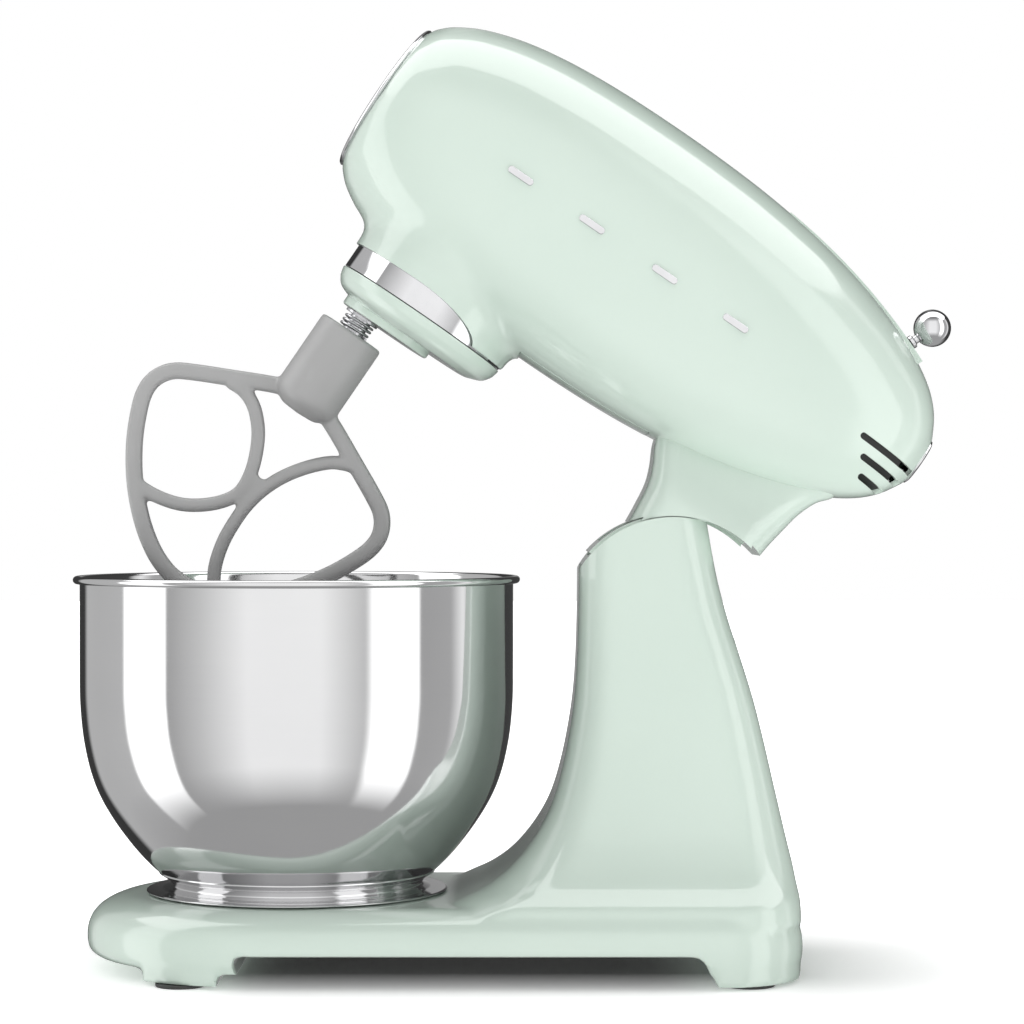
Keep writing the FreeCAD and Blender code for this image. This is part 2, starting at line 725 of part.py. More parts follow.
def front_cover():
    """Shallow dished cover that closes the head's front."""
    rim = 37.2
    crown = 2.2
    radius = (rim * rim + crown * crown) / (2 * crown)
    dome = Part.makeSphere(radius, V(head_front - 1.0 - crown + radius, 0, head_z))
    reach = crown + 1.2
    body = dome.common(Part.makeCylinder(rim, reach, V(head_front - reach, 0, head_z), V(1, 0, 0)))
    plug = Part.makeCylinder(36.3, 4.0, V(head_front, 0, head_z), V(1, 0, 0))
    return body.fuse(plug).removeSplitter()


def rear_cap():
    """Round cap that closes the head's rear end."""
    body = Part.makeCylinder(9.8, 4, V(head_rear - 3, 0, head_z), V(1, 0, 0))
    return body.makeFillet(0.7, [e for e in body.Edges if e.BoundBox.XMin > head_rear + 0.9])


def rear_ring():
    body = Part.makeCylinder(12.0, 0.8, V(head_rear, 0, head_z), V(1, 0, 0))
    return body.cut(Part.makeCylinder(9.9, 6, V(head_rear - 3, 0, head_z), V(1, 0, 0)))


def side_studs():
    """Four plain bright bars on each flank, their backs cut to the head's form."""
    bars = []
    for x, half_height in stud_places:
        y = head_half_width(x, half_height)
        bars.append(block(x - 7.0, x + 7.0, y - 3.0, y + 1.0, head_z - 1.6, head_z + 1.6))
    right = group(bars).cut(ovoid(-0.2))
    return group([right, right.mirror(V(0, 0, 0), V(0, 1, 0))])


def hub_frame():
    """Bearing frame of the planetary drive, behind the chrome band."""
    plate = ring(44.2, 14.0, drive_x, 0, 236.6, 241.0)
    boss = ring(18.0, 14.0, drive_x, 0, 241.0, case_floor)
    return plate.fuse(boss).removeSplitter()


def ring_gear():
    """Fixed ring gear with inward teeth that the beater pinion rolls in."""
    blank = ring(44.0, 20.0, 0, 0, 227.0, 236.5)
    space = gear(ring_teeth, ring_module, 0, 220, 240, 0, 180.0, -0.06, 1.25, 0.8)
    body = blank.cut(space)
    body.translate(V(drive_x, 0, 0))
    return largest(body)


def main_bearings():
    lower = ring(14.0, 6.0, drive_x, 0, 237.0, 245.0)
    upper = ring(14.0, 6.0, drive_x, 0, 249.5, case_floor)
    return group([race_groove(lower, drive_x, 237.0, 245.0), race_groove(upper, drive_x, 249.5, case_floor)])


def race_groove(bearing, x, z0, z1):
    """Shallow shield recess on both faces of a bearing."""
    outer, inner = (12.2, 7.8) if z1 - z0 > 7.5 else (9.6, 5.6)
    top = ring(outer, inner, x, 0, z1 - 0.5, z1 + 1)
    bottom = ring(outer, inner, x, 0, z0 - 1, z0 + 0.5)
    return bearing.cut(top).cut(bottom)


def gear_case():
    """Open-topped case of the reduction gears."""
    outer = cylinder(37.5, drive_x, 0, case_floor, case_top)
    outer = outer.fuse(cylinder(28.5, 50, 0, case_floor, case_top))
    outer = outer.fuse(block(drive_x + 16, 50, -28.5, 28.5, case_floor, case_top))
    z1 = case_top + 1
    inner = cylinder(34.5, drive_x, 0, case_floor + 3, z1).fuse(cylinder(25.8, 46, 0, case_floor + 3, z1))
    inner = inner.fuse(block(drive_x + 16, 46, -25.8, 25.8, case_floor + 3, z1))
    inner = inner.fuse(cylinder(11.2, motor_x, 0, case_floor + 3, z1))
    body = outer.cut(inner)
    body = body.cut(cylinder(6.4, drive_x, 0, 250, 270))
    return body.cut(cylinder(idler_pin_radius, idler_x, 0, 258.5, 262)).removeSplitter()


def gear_case_lid():
    lid_top = case_top + 3
    body = cylinder(37.5, drive_x, 0, case_top, lid_top).fuse(cylinder(44.0, motor_x, 0, case_top, lid_top))
    body = body.fuse(block(drive_x, motor_x, -33, 33, case_top, lid_top))
    body = body.cut(cylinder(11.0, motor_x, 0, 280, 300))
    return body.cut(cylinder(idler_pin_radius, idler_x, 0, 280, 291.5)).removeSplitter()


def idler_pin():
    return cylinder(idler_pin_radius, idler_x, 0, 258.5, 291.5)


def motor_bearings():
    lower = ring(11.0, 4.0 + fit, motor_x, 0, 286.5, 293.5)
    upper = ring(11.0, 4.0 + fit, motor_x, 0, 351.0, 358.0)
    return group([race_groove(lower, motor_x, 286.5, 293.5), race_groove(upper, motor_x, 351.0, 358.0)])


def motor_stator():
    """Laminated stator with two field windings."""
    core = ring(37.0, 25.0, motor_x, 0, 304, 336)
    core = core.cut(block(motor_x - 60, motor_x + 60, 31, 60, 290, 350))
    core = core.cut(block(motor_x - 60, motor_x + 60, -60, -31, 290, 350))
    coil = ring(33.0, 26.0, motor_x, 0, 299, 341)
    coil = coil.common(block(motor_x - 40, motor_x + 40, -20, 20, 290, 350))
    return core.fuse(coil).removeSplitter()


def motor_bracket():
    """Upper bearing bracket on four posts."""
    plate = cylinder(34.0, motor_x, 0, 347, 351.0).fuse(block(motor_x - 33, motor_x + 33, -33, 33, 347, 351))
    plate = plate.common(cylinder(43, motor_x, 0, 340, 360))
    plate = plate.cut(cylinder(14.5, motor_x, 0, 340, 360))
    seat = ring(15.0, 11.0, motor_x, 0, 347, 358.0)
    posts = []
    for side_x in (-1, 1):
        for side_y in (-1, 1):
            posts.append(cylinder(2.5, motor_x + side_x * 29.5, side_y * 29.5, case_top + 3, 347))
    return fuse_all([plate, seat] + posts)


def brush_holders():
    """Two carbon brush holders that bear on the commutator."""
    holder = block(motor_x - 4, motor_x + 4, 11.1, 27, 339, 345)
    foot = block(motor_x - 3, motor_x + 3, 20, 27, 345, 347)
    return both_sides_apart(holder.fuse(foot))


def both_sides_apart(shape):
    """Two separate solids, one each side of the middle plane."""
    return group([shape, shape.mirror(V(0, 0, 0), V(0, 1, 0))])


def slide_control():
    """Curved slide potentiometer under the lever's slot."""
    body = sector(track_x, track_z, track_radius - 17.0, track_radius - 11.0, 6.4, 22.4, -9, 9)
    groove = sector(track_x, track_z, track_radius - 13.6, track_radius - 10.0, 7.0, 21.9, -2.4, 2.4)
    return body.cut(groove)


# ---------------------------------------------------------------- moving pieces of the head

def lever_frame(shape):
    """Turn a piece drawn at the top of the track to the lever's parked place."""
    moved = shape.copy()
    moved.rotate(V(track_x, 0, track_z), V(0, 1, 0), lever_angle)
    return moved


def speed_slider():
    """Slider block inside the head, with a tongue in the slide control."""
    top = track_z + track_radius
    body = block(track_x - 5, track_x + 5, -6, 6, top - 10.4, top - 5.4)
    tongue = block(track_x - 2, track_x + 2, -1.8, 1.8, top - 13.0, top - 10.4)
    neck = cylinder(2.1, track_x, 0, top - 5.4, top + 2)
    return lever_frame(fuse_all([body, tongue, neck]))


def speed_knob():
    """Ball knob on its stalk."""
    top = track_z + track_radius
    stem = cylinder(2.1, track_x, 0, top + 2, top + 11)
    return lever_frame(stem.fuse(Part.makeSphere(knob_radius, V(track_x, 0, top + 15.0))))


def planet_disc():
    """Painted disc under the hub that carries the beater shaft."""
    body = revolve([(0, 212.6), (40.5, 212.6), (43.4, 214.6), (45.4, 218.0), (disc_radius, 222.0),
                    (disc_radius, disc_top), (0, disc_top)], drive_x)
    boss = cylinder(24.8, -14.4, 0, 209.0, 212.6)
    body = body.fuse(boss).cut(cylinder(8.5, beater_x, 0, 200, 230))
    return body.cut(cylinder(6.0, drive_x, 0, 216.0, 230)).removeSplitter()


def planet_shaft():
    return cylinder(6.0, drive_x, 0, 216.0, 275.0)


def beater_bush():
    return ring(8.5, 5.5 + fit, beater_x, 0, 209.0, disc_top)


def planet_gear():
    return gear(planet_teeth, 1.0, drive_x, 263.0, 273.0, 6.0)


def idler_gear():
    """Compound idler: a large gear from the motor and a small one to the planet gear."""
    small = gear(idler_small_teeth, 1.0, idler_x, 262.5, 276.0, 0, 15.0)
    large = gear(idler_large_teeth, 1.0, idler_x, 276.0, 284.0, 0)
    return small.fuse(large).cut(cylinder(idler_pin_radius + fit, idler_x, 0, 260, 290))


def motor_pinion():
    return gear(motor_teeth, 1.0, motor_x, 275.0, 284.6, 4.0, 15.0)


def armature_shaft():
    return cylinder(4.0, motor_x, 0, 275.0, 358.0)


def armature():
    """Wound core with its slots, and the commutator above it."""
    core = ring(24.4, 4.0, motor_x, 0, 305, 335)
    slots = []
    for turn in range(12):
        slot = block(motor_x + 17, motor_x + 26, -1.0, 1.0, 300, 340)
        slot.rotate(V(motor_x, 0, 0), V(0, 0, 1), turn * 30)
        slots.append(slot)
    core = core.cut(group(slots))
    coil = ring(20.0, 4.0, motor_x, 0, 301.5, 337.5)
    commutator = ring(11.0, 4.0, motor_x, 0, 337.5, 346.0)
    return fuse_all([core, coil, commutator])


def motor_fan():
    """Cooling fan below the armature."""
    blades = [ring(10, 4.0, motor_x, 0, 294.2, 298.6)]
    for turn in range(9):
        blade = block(motor_x + 9, motor_x + 24, -0.8, 0.8, 294.2, 298.6)
        blade.rotate(V(motor_x, 0, 0), V(0, 0, 1), turn * 40)
        blades.append(blade)
    return fuse_all(blades)


def beater_shaft():
    """Shaft that the beater locks on, with its flat washer."""
    return cylinder(5.5, beater_x, 0, shaft_end, 236.0).cut(drive_pin())


def shaft_washer():
    return ring(9.0, 5.5, beater_x, 0, 207.4, 208.6)


def drive_pin():
    """Cross pin that drives the beater."""
    return bar_y(2.0, beater_x, pin_z, -11.0, 11.0)


def beater_pinion():
    return gear(pinion_teeth, ring_module, beater_x, 227.3, 235.9, 5.5, 180.0)


def shaft_spring():
    """Coil spring between the washer and the beater."""
    height = 207.4 - beater_hub_top - 1.5
    coil = coil_spring(7.4, 0.65, height / 2.75, height)
    coil.translate(V(beater_x, 0, beater_hub_top + 0.75))
    return coil


def beater_bar(points, width):
    """Flat band of even width along a smooth line."""
    line = Part.BSplineCurve()
    line.interpolate([V(beater_x + x, 0, z) for x, z in points])
    left = []
    right = []
    for step in range(25):
        t = line.FirstParameter + (line.LastParameter - line.FirstParameter) * step / 24
        here = line.value(t)
        along = line.tangent(t)[0]
        across = V(-along.z, 0, along.x)
        left.append(here + across * (width / 2))
        right.append(here - across * (width / 2))
    side_a = spline_wire(left)
    side_b = spline_wire(right)
    ends = [Part.LineSegment(left[0], right[0]).toShape(), Part.LineSegment(left[-1], right[-1]).toShape()]
    wire = Part.Wire(Part.__sortEdges__([side_a, side_b] + ends))
    return Part.Face(wire).extrude(V(0, beater_thick, 0))


def flat_beater():
    """Cast beater: a frame the same on both sides of the shaft, with a ring and an arch inside it."""
    half = [(6, 160.5), (18, 155.8), (36, 147.3), (54, 138.6), (62.6, 133.4), (67.4, 126.6), (68.6, 119),
            (66.2, 109.5), (58.5, 93.5), (47.3, 77.5), (34, 64), (20.5, 54.5), (8.5, 49.8), (-0.5, 49.0)]
    frame = [beater_bar([(side * x, z) for x, z in half], beater_frame) for side in (1, -1)]
    ring_line = [(-36, 145), (-29, 145.2), (-22.5, 143.2), (-16.5, 139), (-10, 131.5), (-4.8, 121.5),
                 (-1.8, 112), (-1.2, 103), (-4.5, 95.5), (-12, 87.5), (-22, 81), (-34, 77.5), (-46, 76.5)]
    ring_bar = beater_bar(ring_line, beater_inner)
    arch_line = [(38, 144.5), (33, 143), (27, 139.5), (19, 131), (12, 120.5), (7.6, 110), (5.4, 100),
                 (4.9, 90), (6, 77), (10, 64), (17, 53)]
    arch_bar = beater_bar(arch_line, beater_inner)
    corners = [(-1, 114), (6, 114), (5, 92), (-1, 98)]
    web = profile_plate([(beater_x + x, z) for x, z in corners], 0, beater_thick)
    flat = fuse_all(frame + [ring_bar, arch_bar, web])
    flat.translate(V(0, -beater_thick / 2, 0))
    hub = cylinder(beater_hub_radius, beater_x, 0, 161.0, beater_hub_top)
    dome = Part.makeSphere(beater_hub_radius, V(beater_x, 0, 161.0)).common(
        block(beater_x - 20, beater_x + 20, -20, 20, 151.0, 161.0))
    body = fuse_all([flat, hub, dome])
    body = body.cut(cylinder(5.5 + fit, beater_x, 0, shaft_end - lift_room, 210))
    slot = block(beater_x - 2.1, beater_x + 2.1, -11.3, 11.3, pin_z - 2.0 - lift_room, 210)
    return body.cut(slot)


# ---------------------------------------------------------------- write the nodes

def open_head(shape):
    """Tilt a head part from closed to open."""
    moved = shape.copy()
    moved.rotate(V(hinge_x, 0, hinge_z), V(0, 1, 0), head_tilt)
    return moved


def open_point(x, z):
    """Where a point of the closed head comes to when the head is open."""
    turn = math.radians(head_tilt)
    dx = x - hinge_x
    dz = z - hinge_z
    open_x = hinge_x + dx * math.cos(turn) + dz * math.sin(turn)
    open_z = hinge_z - dx * math.sin(turn) + dz * math.cos(turn)
    return open_x, open_z


knob_reach = track_radius + 15.0
knob_turn = math.radians(lever_angle)
closed_knob_x = track_x + knob_reach * math.sin(knob_turn)
closed_knob_z = track_z + knob_reach * math.cos(knob_turn)
knob_rear = open_point(closed_knob_x, closed_knob_z)[0] + knob_radius
origin_x = (knob_rear - bowl_rim) / 2       # midway between the bowl's rim and the knob


base_parts = {
    "base_casting": base_casting,
    "bottom_plate": bottom_plate,
    "bottom_plate_screws": bottom_screws,
    "rubber_feet": rubber_feet,
    "bowl_seat_ring": seat_ring,
    "bowl_seat_screws": seat_screws,
    "column_cover": column_cover,
    "hinge_pin": hinge_pin,
    "hinge_bushes": hinge_bushes,
    "hinge_clips": hinge_clips,
    "release_button": release_button,
    "button_spring": button_spring,
    "button_seat": button_seat,
    "latch_pawl": latch_pawl,
    "pawl_pin": pawl_pin,
    "cord_gland": cord_gland,
    "control_board": control_board,
    "safety_switch": safety_switch,
    "bowl": bowl,
    "bowl_foot": bowl_foot,
}
head_parts = {
    "head_shell": head_shell,
    "neck_casting": neck_casting,
    "hinge_arm": hinge_arm,
    "underside_cover": underside_cover,
    "front_ring": front_ring,
    "front_cover": front_cover,
    "rear_cap": rear_cap,
    "rear_ring": rear_ring,
    "side_studs": side_studs,
    "vent_grilles": vent_grilles,
    "speed_scale_strip": scale_strip,
    "slide_control": slide_control,
    "chrome_band": chrome_band,
    "hub_frame": hub_frame,
    "ring_gear": ring_gear,
    "main_bearings": main_bearings,
    "gear_case": gear_case,
    "gear_case_lid": gear_case_lid,
    "idler_pin": idler_pin,
    "motor_stator": motor_stator,
    "motor_bracket": motor_bracket,
    "motor_bearings": motor_bearings,
    "brush_holders": brush_holders,
    "speed_slider": speed_slider,
    "speed_knob": speed_knob,
    "planet_disc": planet_disc,
    "planet_shaft": planet_shaft,
    "planet_gear": planet_gear,
    "beater_bush": beater_bush,
    "idler_gear": idler_gear,
    "motor_pinion": motor_pinion,
    "armature_shaft": armature_shaft,
    "armature": armature,
    "motor_fan": motor_fan,
    "beater_shaft": beater_shaft,
    "shaft_washer": shaft_washer,
    "drive_pin": drive_pin,
    "beater_pinion": beater_pinion,
    "shaft_spring": shaft_spring,
    "flat_beater": flat_beater,
}


def write_node(name, shape):
    moved = shape.copy()
    moved.translate(V(-origin_x, 0, 0))
    moved.exportStep("parts/" + name + ".step")
    print(name, shape.isValid(), len(shape.Solids), round(shape.Volume))


def main():
    os.makedirs("parts", exist_ok=True)
    for name, make in base_parts.items():
        write_node(name, make())
    for name, make in head_parts.items():
        write_node(name, open_head(make()))


if __name__ == "__main__":
    main()
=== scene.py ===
import bpy
import json
import bmesh
import math
from mathutils import Matrix, Vector

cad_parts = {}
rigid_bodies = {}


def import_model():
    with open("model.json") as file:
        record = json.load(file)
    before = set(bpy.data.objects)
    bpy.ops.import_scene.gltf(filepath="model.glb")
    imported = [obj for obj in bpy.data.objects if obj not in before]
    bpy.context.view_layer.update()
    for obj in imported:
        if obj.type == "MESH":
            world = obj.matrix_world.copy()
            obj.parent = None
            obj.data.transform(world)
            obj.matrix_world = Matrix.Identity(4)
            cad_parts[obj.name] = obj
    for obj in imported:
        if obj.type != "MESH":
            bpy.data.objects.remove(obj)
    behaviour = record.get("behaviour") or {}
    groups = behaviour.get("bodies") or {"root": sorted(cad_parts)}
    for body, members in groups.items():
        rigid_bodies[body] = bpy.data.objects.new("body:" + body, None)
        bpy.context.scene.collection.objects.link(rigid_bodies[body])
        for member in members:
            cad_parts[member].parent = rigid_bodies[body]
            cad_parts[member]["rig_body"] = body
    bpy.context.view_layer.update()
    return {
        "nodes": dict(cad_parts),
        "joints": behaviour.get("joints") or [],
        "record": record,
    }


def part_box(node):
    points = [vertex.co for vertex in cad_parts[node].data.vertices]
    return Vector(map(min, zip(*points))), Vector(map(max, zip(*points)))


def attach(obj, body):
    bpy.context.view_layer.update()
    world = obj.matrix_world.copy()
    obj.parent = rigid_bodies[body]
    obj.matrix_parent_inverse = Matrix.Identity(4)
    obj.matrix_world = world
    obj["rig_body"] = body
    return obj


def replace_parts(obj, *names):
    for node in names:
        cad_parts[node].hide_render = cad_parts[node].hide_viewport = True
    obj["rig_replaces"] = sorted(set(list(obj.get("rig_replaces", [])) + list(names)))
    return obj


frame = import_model()
print("frame loaded with", len(frame["nodes"]), "nodes")

# Pieces are drawn in millimetres from the bowl's axis, those of the head with the head closed and
# level. toRow brings them to the frame and openHead leans the head back on its hinge.
joints = {joint["name"]: joint for joint in frame["joints"]}
slotOf = {part["node"]: part["material_slot"] for part in frame["record"]["subparts"]}
hingePoint = Vector(joints["head_tilt"]["pos_m"])
openAngle = -math.radians(joints["head_tilt"]["range_deg"][0])
bowlLow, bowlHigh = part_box("bowl")
bowlX = (bowlLow.x + bowlHigh.x) / 2
hingeX = (hingePoint.x - bowlX) * 1000
hingeZ = hingePoint.z * 1000
toRow = Matrix.Translation((bowlX, 0, 0)) @ Matrix.Scale(0.001, 4)
openHead = Matrix.Translation(hingePoint) @ Matrix.Rotation(openAngle, 4, "Y")
openHead = openHead @ Matrix.Translation(-hingePoint)


# camera and light

camera = {"distance": 1.475, "height": 0.2245, "side": -0.0005, "lens": 104.4}


def makeCamera():
    data = bpy.data.cameras.new("mixerCamera")
    data.lens = camera["lens"]
    data.sensor_width = 36
    data.clip_end = 20
    eye = bpy.data.objects.new("mixerCamera", data)
    eye.location = (camera["side"], -camera["distance"], camera["height"])
    eye.rotation_euler = (math.pi / 2, 0, 0)
    bpy.context.scene.collection.objects.link(eye)
    bpy.context.scene.camera = eye
    print("camera set")


lights = {
    # where, what it faces, width, height, power
    "overheadBox": ((0.02, 0.16, 1.35), (0.02, 0.06, 0.2), 1.5, 0.75, 1.6),
}


def makeLights():
    for name, (place, target, width, height, power) in lights.items():
        data = bpy.data.lights.new(name, "AREA")
        data.shape = "RECTANGLE"
        data.size = width
        data.size_y = height
        data.energy = power
        lamp = bpy.data.objects.new(name, data)
        lamp.location = place
        lamp.rotation_euler = (Vector(target) - Vector(place)).to_track_quat("-Z", "Y").to_euler()
        lamp.visible_camera = False
        lamp.visible_glossy = False     # the studio's own softbox is what the gloss shows
        bpy.context.scene.collection.objects.link(lamp)
    bpy.context.scene.view_settings.view_transform = "Standard"
    print("lights set:", len(lights))


# shader maths

class Wire:
    def __init__(self, finish, socket):
        self.finish = finish
        self.socket = socket

    def math(self, operation, first, second=0.0):
        return self.finish.node("ShaderNodeMath", {"operation": operation}, {0: first, 1: second})

    def __add__(self, other):
        return self.math("ADD", self, other)

    def __radd__(self, other):
        return self.math("ADD", other, self)

    def __sub__(self, other):
        return self.math("SUBTRACT", self, other)

    def __rsub__(self, other):
        return self.math("SUBTRACT", other, self)

    def __mul__(self, other):
        return self.math("MULTIPLY", self, other)

    def __rmul__(self, other):
        return self.math("MULTIPLY", other, self)


class Finish:
    def __init__(self, name, owner=None):
        # a material's nodes, or those of the world given as owner
        self.material = owner or bpy.data.materials.new(name)
        self.material.use_nodes = True
        self.tree = self.material.node_tree
        self.tree.nodes.clear()

    def node(self, kind, settings=None, inputs=None, output=0):
        made = self.tree.nodes.new(kind)
        for key, value in (settings or {}).items():
            if key == "stops":
                while len(made.color_ramp.elements) < len(value):
                    made.color_ramp.elements.new(1.0)
                for stop, (place, grey) in zip(made.color_ramp.elements, value):
                    stop.position = place
                    stop.color = (grey, grey, grey, 1)
            else:
                setattr(made, key, value)
        for key, value in (inputs or {}).items():
            if isinstance(value, Wire):
                self.tree.links.new(value.socket, made.inputs[key])
            else:
                made.inputs[key].default_value = value
        return None if output is None else Wire(self, made.outputs[output])

    def place(self, scale=(1, 1, 1), location=(0, 0, 0), turn=(0, 0, 0)):
        where = self.node("ShaderNodeTexCoord", output="Object")
        return self.node("ShaderNodeMapping", {}, {"Vector": where, "Location": location, "Rotation": turn,
                                                   "Scale": scale})

    def noise(self, where, size, detail=3.0, roughness=0.5):
        # size is the pattern's grain in metres
        return self.node("ShaderNodeTexNoise", {}, {"Vector": where, "Scale": 1 / size, "Detail": detail,
                                                    "Roughness": roughness})

    def ramp(self, value, low, high):
        return self.node("ShaderNodeMapRange", {}, {"Value": value, "From Min": low, "From Max": high})

    def blend(self, share, first, second):
        made = self.tree.nodes.new("ShaderNodeMix")
        made.data_type = "RGBA"
        for key, value in ((0, share), (6, first), (7, second)):
            if isinstance(value, Wire):
                self.tree.links.new(value.socket, made.inputs[key])
            else:
                made.inputs[key].default_value = value
        return Wire(self, made.outputs[2])

    def bump(self, height, strength, depth):
        return self.node("ShaderNodeBump", {}, {"Height": height, "Strength": strength, "Distance": depth})

    def surface(self, **inputs):
        # an input's name is the socket's, with _ for a space
        plain = {key.replace("_", " "): value for key, value in inputs.items()}
        shader = self.node("ShaderNodeBsdfPrincipled", {}, plain)
        self.node("ShaderNodeOutputMaterial", {}, {"Surface": shader}, output=None)
        return self.material


def colour(red, green, blue):
    return (red, green, blue, 1)


# finishes

paints = {
    "mintEnamel": {"light": colour(0.602, 0.710, 0.634), "deep": colour(0.572, 0.682, 0.606)},
}


def enamel(name):
    # gloss enamel under a clear coat, with a faint cloudiness and the fine ripple of sprayed paint
    tints = paints[name]
    finish = Finish(name)
    where = finish.place()
    cloud = finish.ramp(finish.noise(where, 0.11, 2), 0.35, 0.65)
    speck = finish.ramp(finish.noise(where, 0.0007, 1), 0.2, 0.8)
    base = finish.blend(cloud * 0.7 + speck * 0.3, tints["deep"], tints["light"])
    ripple = finish.noise(where, 0.0024, 1)
    return finish.surface(Base_Color=base, Roughness=0.30 + cloud * 0.05, Coat_Weight=1.0,
                          Coat_Roughness=0.04, Normal=finish.bump(ripple, 0.05, 0.0002))


def spunSteel(name, tone, roughness, lines):
    # mirror-polished sheet, with the hair lines that spinning leaves round the bowl's axis
    finish = Finish(name)
    centred = finish.place(scale=(0.02, 0.02, 1), location=(-bowlX * 0.02, 0, 0))
    rings = finish.noise(centred, 0.0006, 2)
    smear = finish.ramp(finish.noise(finish.place(), 0.05, 3), 0.3, 0.7)
    shine = roughness + rings * lines + smear * 0.02
    base = finish.blend(smear * 0.6 + rings * 0.4, colour(tone * 0.94, tone * 0.94, tone * 0.95),
                        colour(tone, tone, tone * 1.005))
    return finish.surface(Base_Color=base, Metallic=1.0, Roughness=shine,
                          Normal=finish.bump(rings, 0.02, 0.0001))


def chromePlate(name):
    finish = Finish(name)
    where = finish.place()
    smear = finish.ramp(finish.noise(where, 0.02, 3), 0.3, 0.7)
    swirl = finish.noise(where, 0.0009, 2)
    base = finish.blend(smear, colour(0.58, 0.58, 0.59), colour(0.64, 0.64, 0.65))
    return finish.surface(Base_Color=base, Metallic=1.0, Roughness=0.03 + smear * 0.03 + swirl * 0.01,
                          Normal=finish.bump(swirl, 0.01, 0.0001))


def castGrey(name, dark, light, metallic, roughness, grainSize):
    # cast metal with a fine sandy skin
    finish = Finish(name)
    where = finish.place()
    grain = finish.noise(where, grainSize, 4, 0.6)
    patch = finish.ramp(finish.noise(where, 0.03, 2), 0.3, 0.7)
    share = patch * 0.55 + grain * 0.45
    base = finish.blend(share, colour(dark, dark, dark), colour(light, light, light))
    return finish.surface(Base_Color=base, Metallic=metallic, Roughness=roughness + grain * 0.12,
                          Normal=finish.bump(grain, 0.18, 0.0003))


def moulded(name, dark, light, roughness, grainSize, strength):
    # moulded plastic or rubber with a fine spark-eroded grain
    finish = Finish(name)
    where = finish.place()
    grain = finish.noise(where, grainSize, 2)
    bloom = finish.ramp(finish.noise(where, 0.02, 3), 0.35, 0.65)
    base = finish.blend(bloom * 0.7 + grain * 0.3, dark, light)
    return finish.surface(Base_Color=base, Roughness=roughness + bloom * 0.1,
                          Normal=finish.bump(grain, strength, 0.0002))


def groundMetal(name, dark, light, roughness, scratch):
    # ground or turned metal, its scratches drawn out along one direction
    finish = Finish(name)
    drawn = finish.noise(finish.place(scale=scratch, turn=(0, openAngle, 0)), 0.0005, 3)
    stain = finish.ramp(finish.noise(finish.place(), 0.012, 3), 0.3, 0.7)
    base = finish.blend(drawn * 0.5 + stain * 0.5, dark, light)
    return finish.surface(Base_Color=base, Metallic=1.0, Roughness=roughness + drawn * 0.15 + stain * 0.05,
                          Normal=finish.bump(drawn, 0.08, 0.0001))


def makeFinishes():
    made = {
        "paint": enamel("mintEnamel"),
        "polished_steel": spunSteel("mirrorSteel", 0.62, 0.045, 0.03),
        "bright_chrome": chromePlate("brightChrome"),
        "beater_cast": castGrey("castBeater", 0.36, 0.40, 0.15, 0.40, 0.0007),
        "rubber": moulded("softRubber", colour(0.025, 0.025, 0.025), colour(0.045, 0.045, 0.045), 0.6,
                          0.0006, 0.3),
        "black_plastic": moulded("blackPlastic", colour(0.010, 0.011, 0.010), colour(0.020, 0.021, 0.020),
                                 0.45, 0.0005, 0.2),
        "board": moulded("coatedBoard", colour(0.012, 0.09, 0.03), colour(0.03, 0.17, 0.06), 0.3, 0.003, 0.1),
        "steel": groundMetal("groundSteel", colour(0.42, 0.42, 0.43), colour(0.6, 0.6, 0.62), 0.18,
                             (1, 1, 0.05)),
        "gear_steel": groundMetal("gearSteel", colour(0.30, 0.29, 0.28), colour(0.5, 0.5, 0.5), 0.25,
                                  (0.1, 0.1, 1)),
        "cast_frame": castGrey("castFrame", 0.38, 0.52, 0.9, 0.42, 0.0012),
        "bronze": groundMetal("turnedBronze", colour(0.42, 0.24, 0.09), colour(0.62, 0.40, 0.17), 0.22,
                              (0.1, 0.1, 1)),
        "laminations": groundMetal("stackedSheet", colour(0.10, 0.09, 0.09), colour(0.32, 0.30, 0.29), 0.35,
                                   (0.05, 0.05, 1)),
    }
    print("finishes made:", len(made))
    return made


# mesh tools

def smoothAt(table, place):
    # smooth curve through (place, value, ...) rows, giving the values at one place
    if place <= table[0][0]:
        return table[0][1:]
    if place >= table[-1][0]:
        return table[-1][1:]
    index = next(i for i in range(len(table) - 1) if place <= table[i + 1][0])
    before, here, there, after = (table[max(0, min(len(table) - 1, index + step))] for step in (-1, 0, 1, 2))
    span = there[0] - here[0]
    t = (place - here[0]) / span
    values = []
    for column in range(1, len(here)):
        startSlope = (there[column] - before[column]) / (there[0] - before[0])
        endSlope = (after[column] - here[column]) / (after[0] - here[0])
        value = (2 * t ** 3 - 3 * t ** 2 + 1) * here[column] + (t ** 3 - 2 * t ** 2 + t) * span * startSlope
        value += (3 * t ** 2 - 2 * t ** 3) * there[column] + (t ** 3 - t ** 2) * span * endSlope
        values.append(value)
    return values


def smoothPath(points, share):
    # point on a smooth curve through the points, share running from 0 to 1
    rows = [(index, *point) for index, point in enumerate(points)]
    return Vector(smoothAt(rows, share * (len(points) - 1)))


def skin(rows, columns, surface):
    # a grid of faces laid on surface(along, round), closed at its seam and both ends
    bm = bmesh.new()
    bmesh.ops.create_grid(bm, x_segments=rows, y_segments=columns, size=1)
    for vert in bm.verts:
        vert.co = surface((vert.co.x + 1) / 2, (vert.co.y + 1) / 2)
    bmesh.ops.remove_doubles(bm, verts=bm.verts, dist=0.0005)
    bmesh.ops.holes_fill(bm, edges=[edge for edge in bm.edges if edge.is_boundary], sides=0)
    bmesh.ops.recalc_face_normals(bm, faces=bm.faces)
    return bm


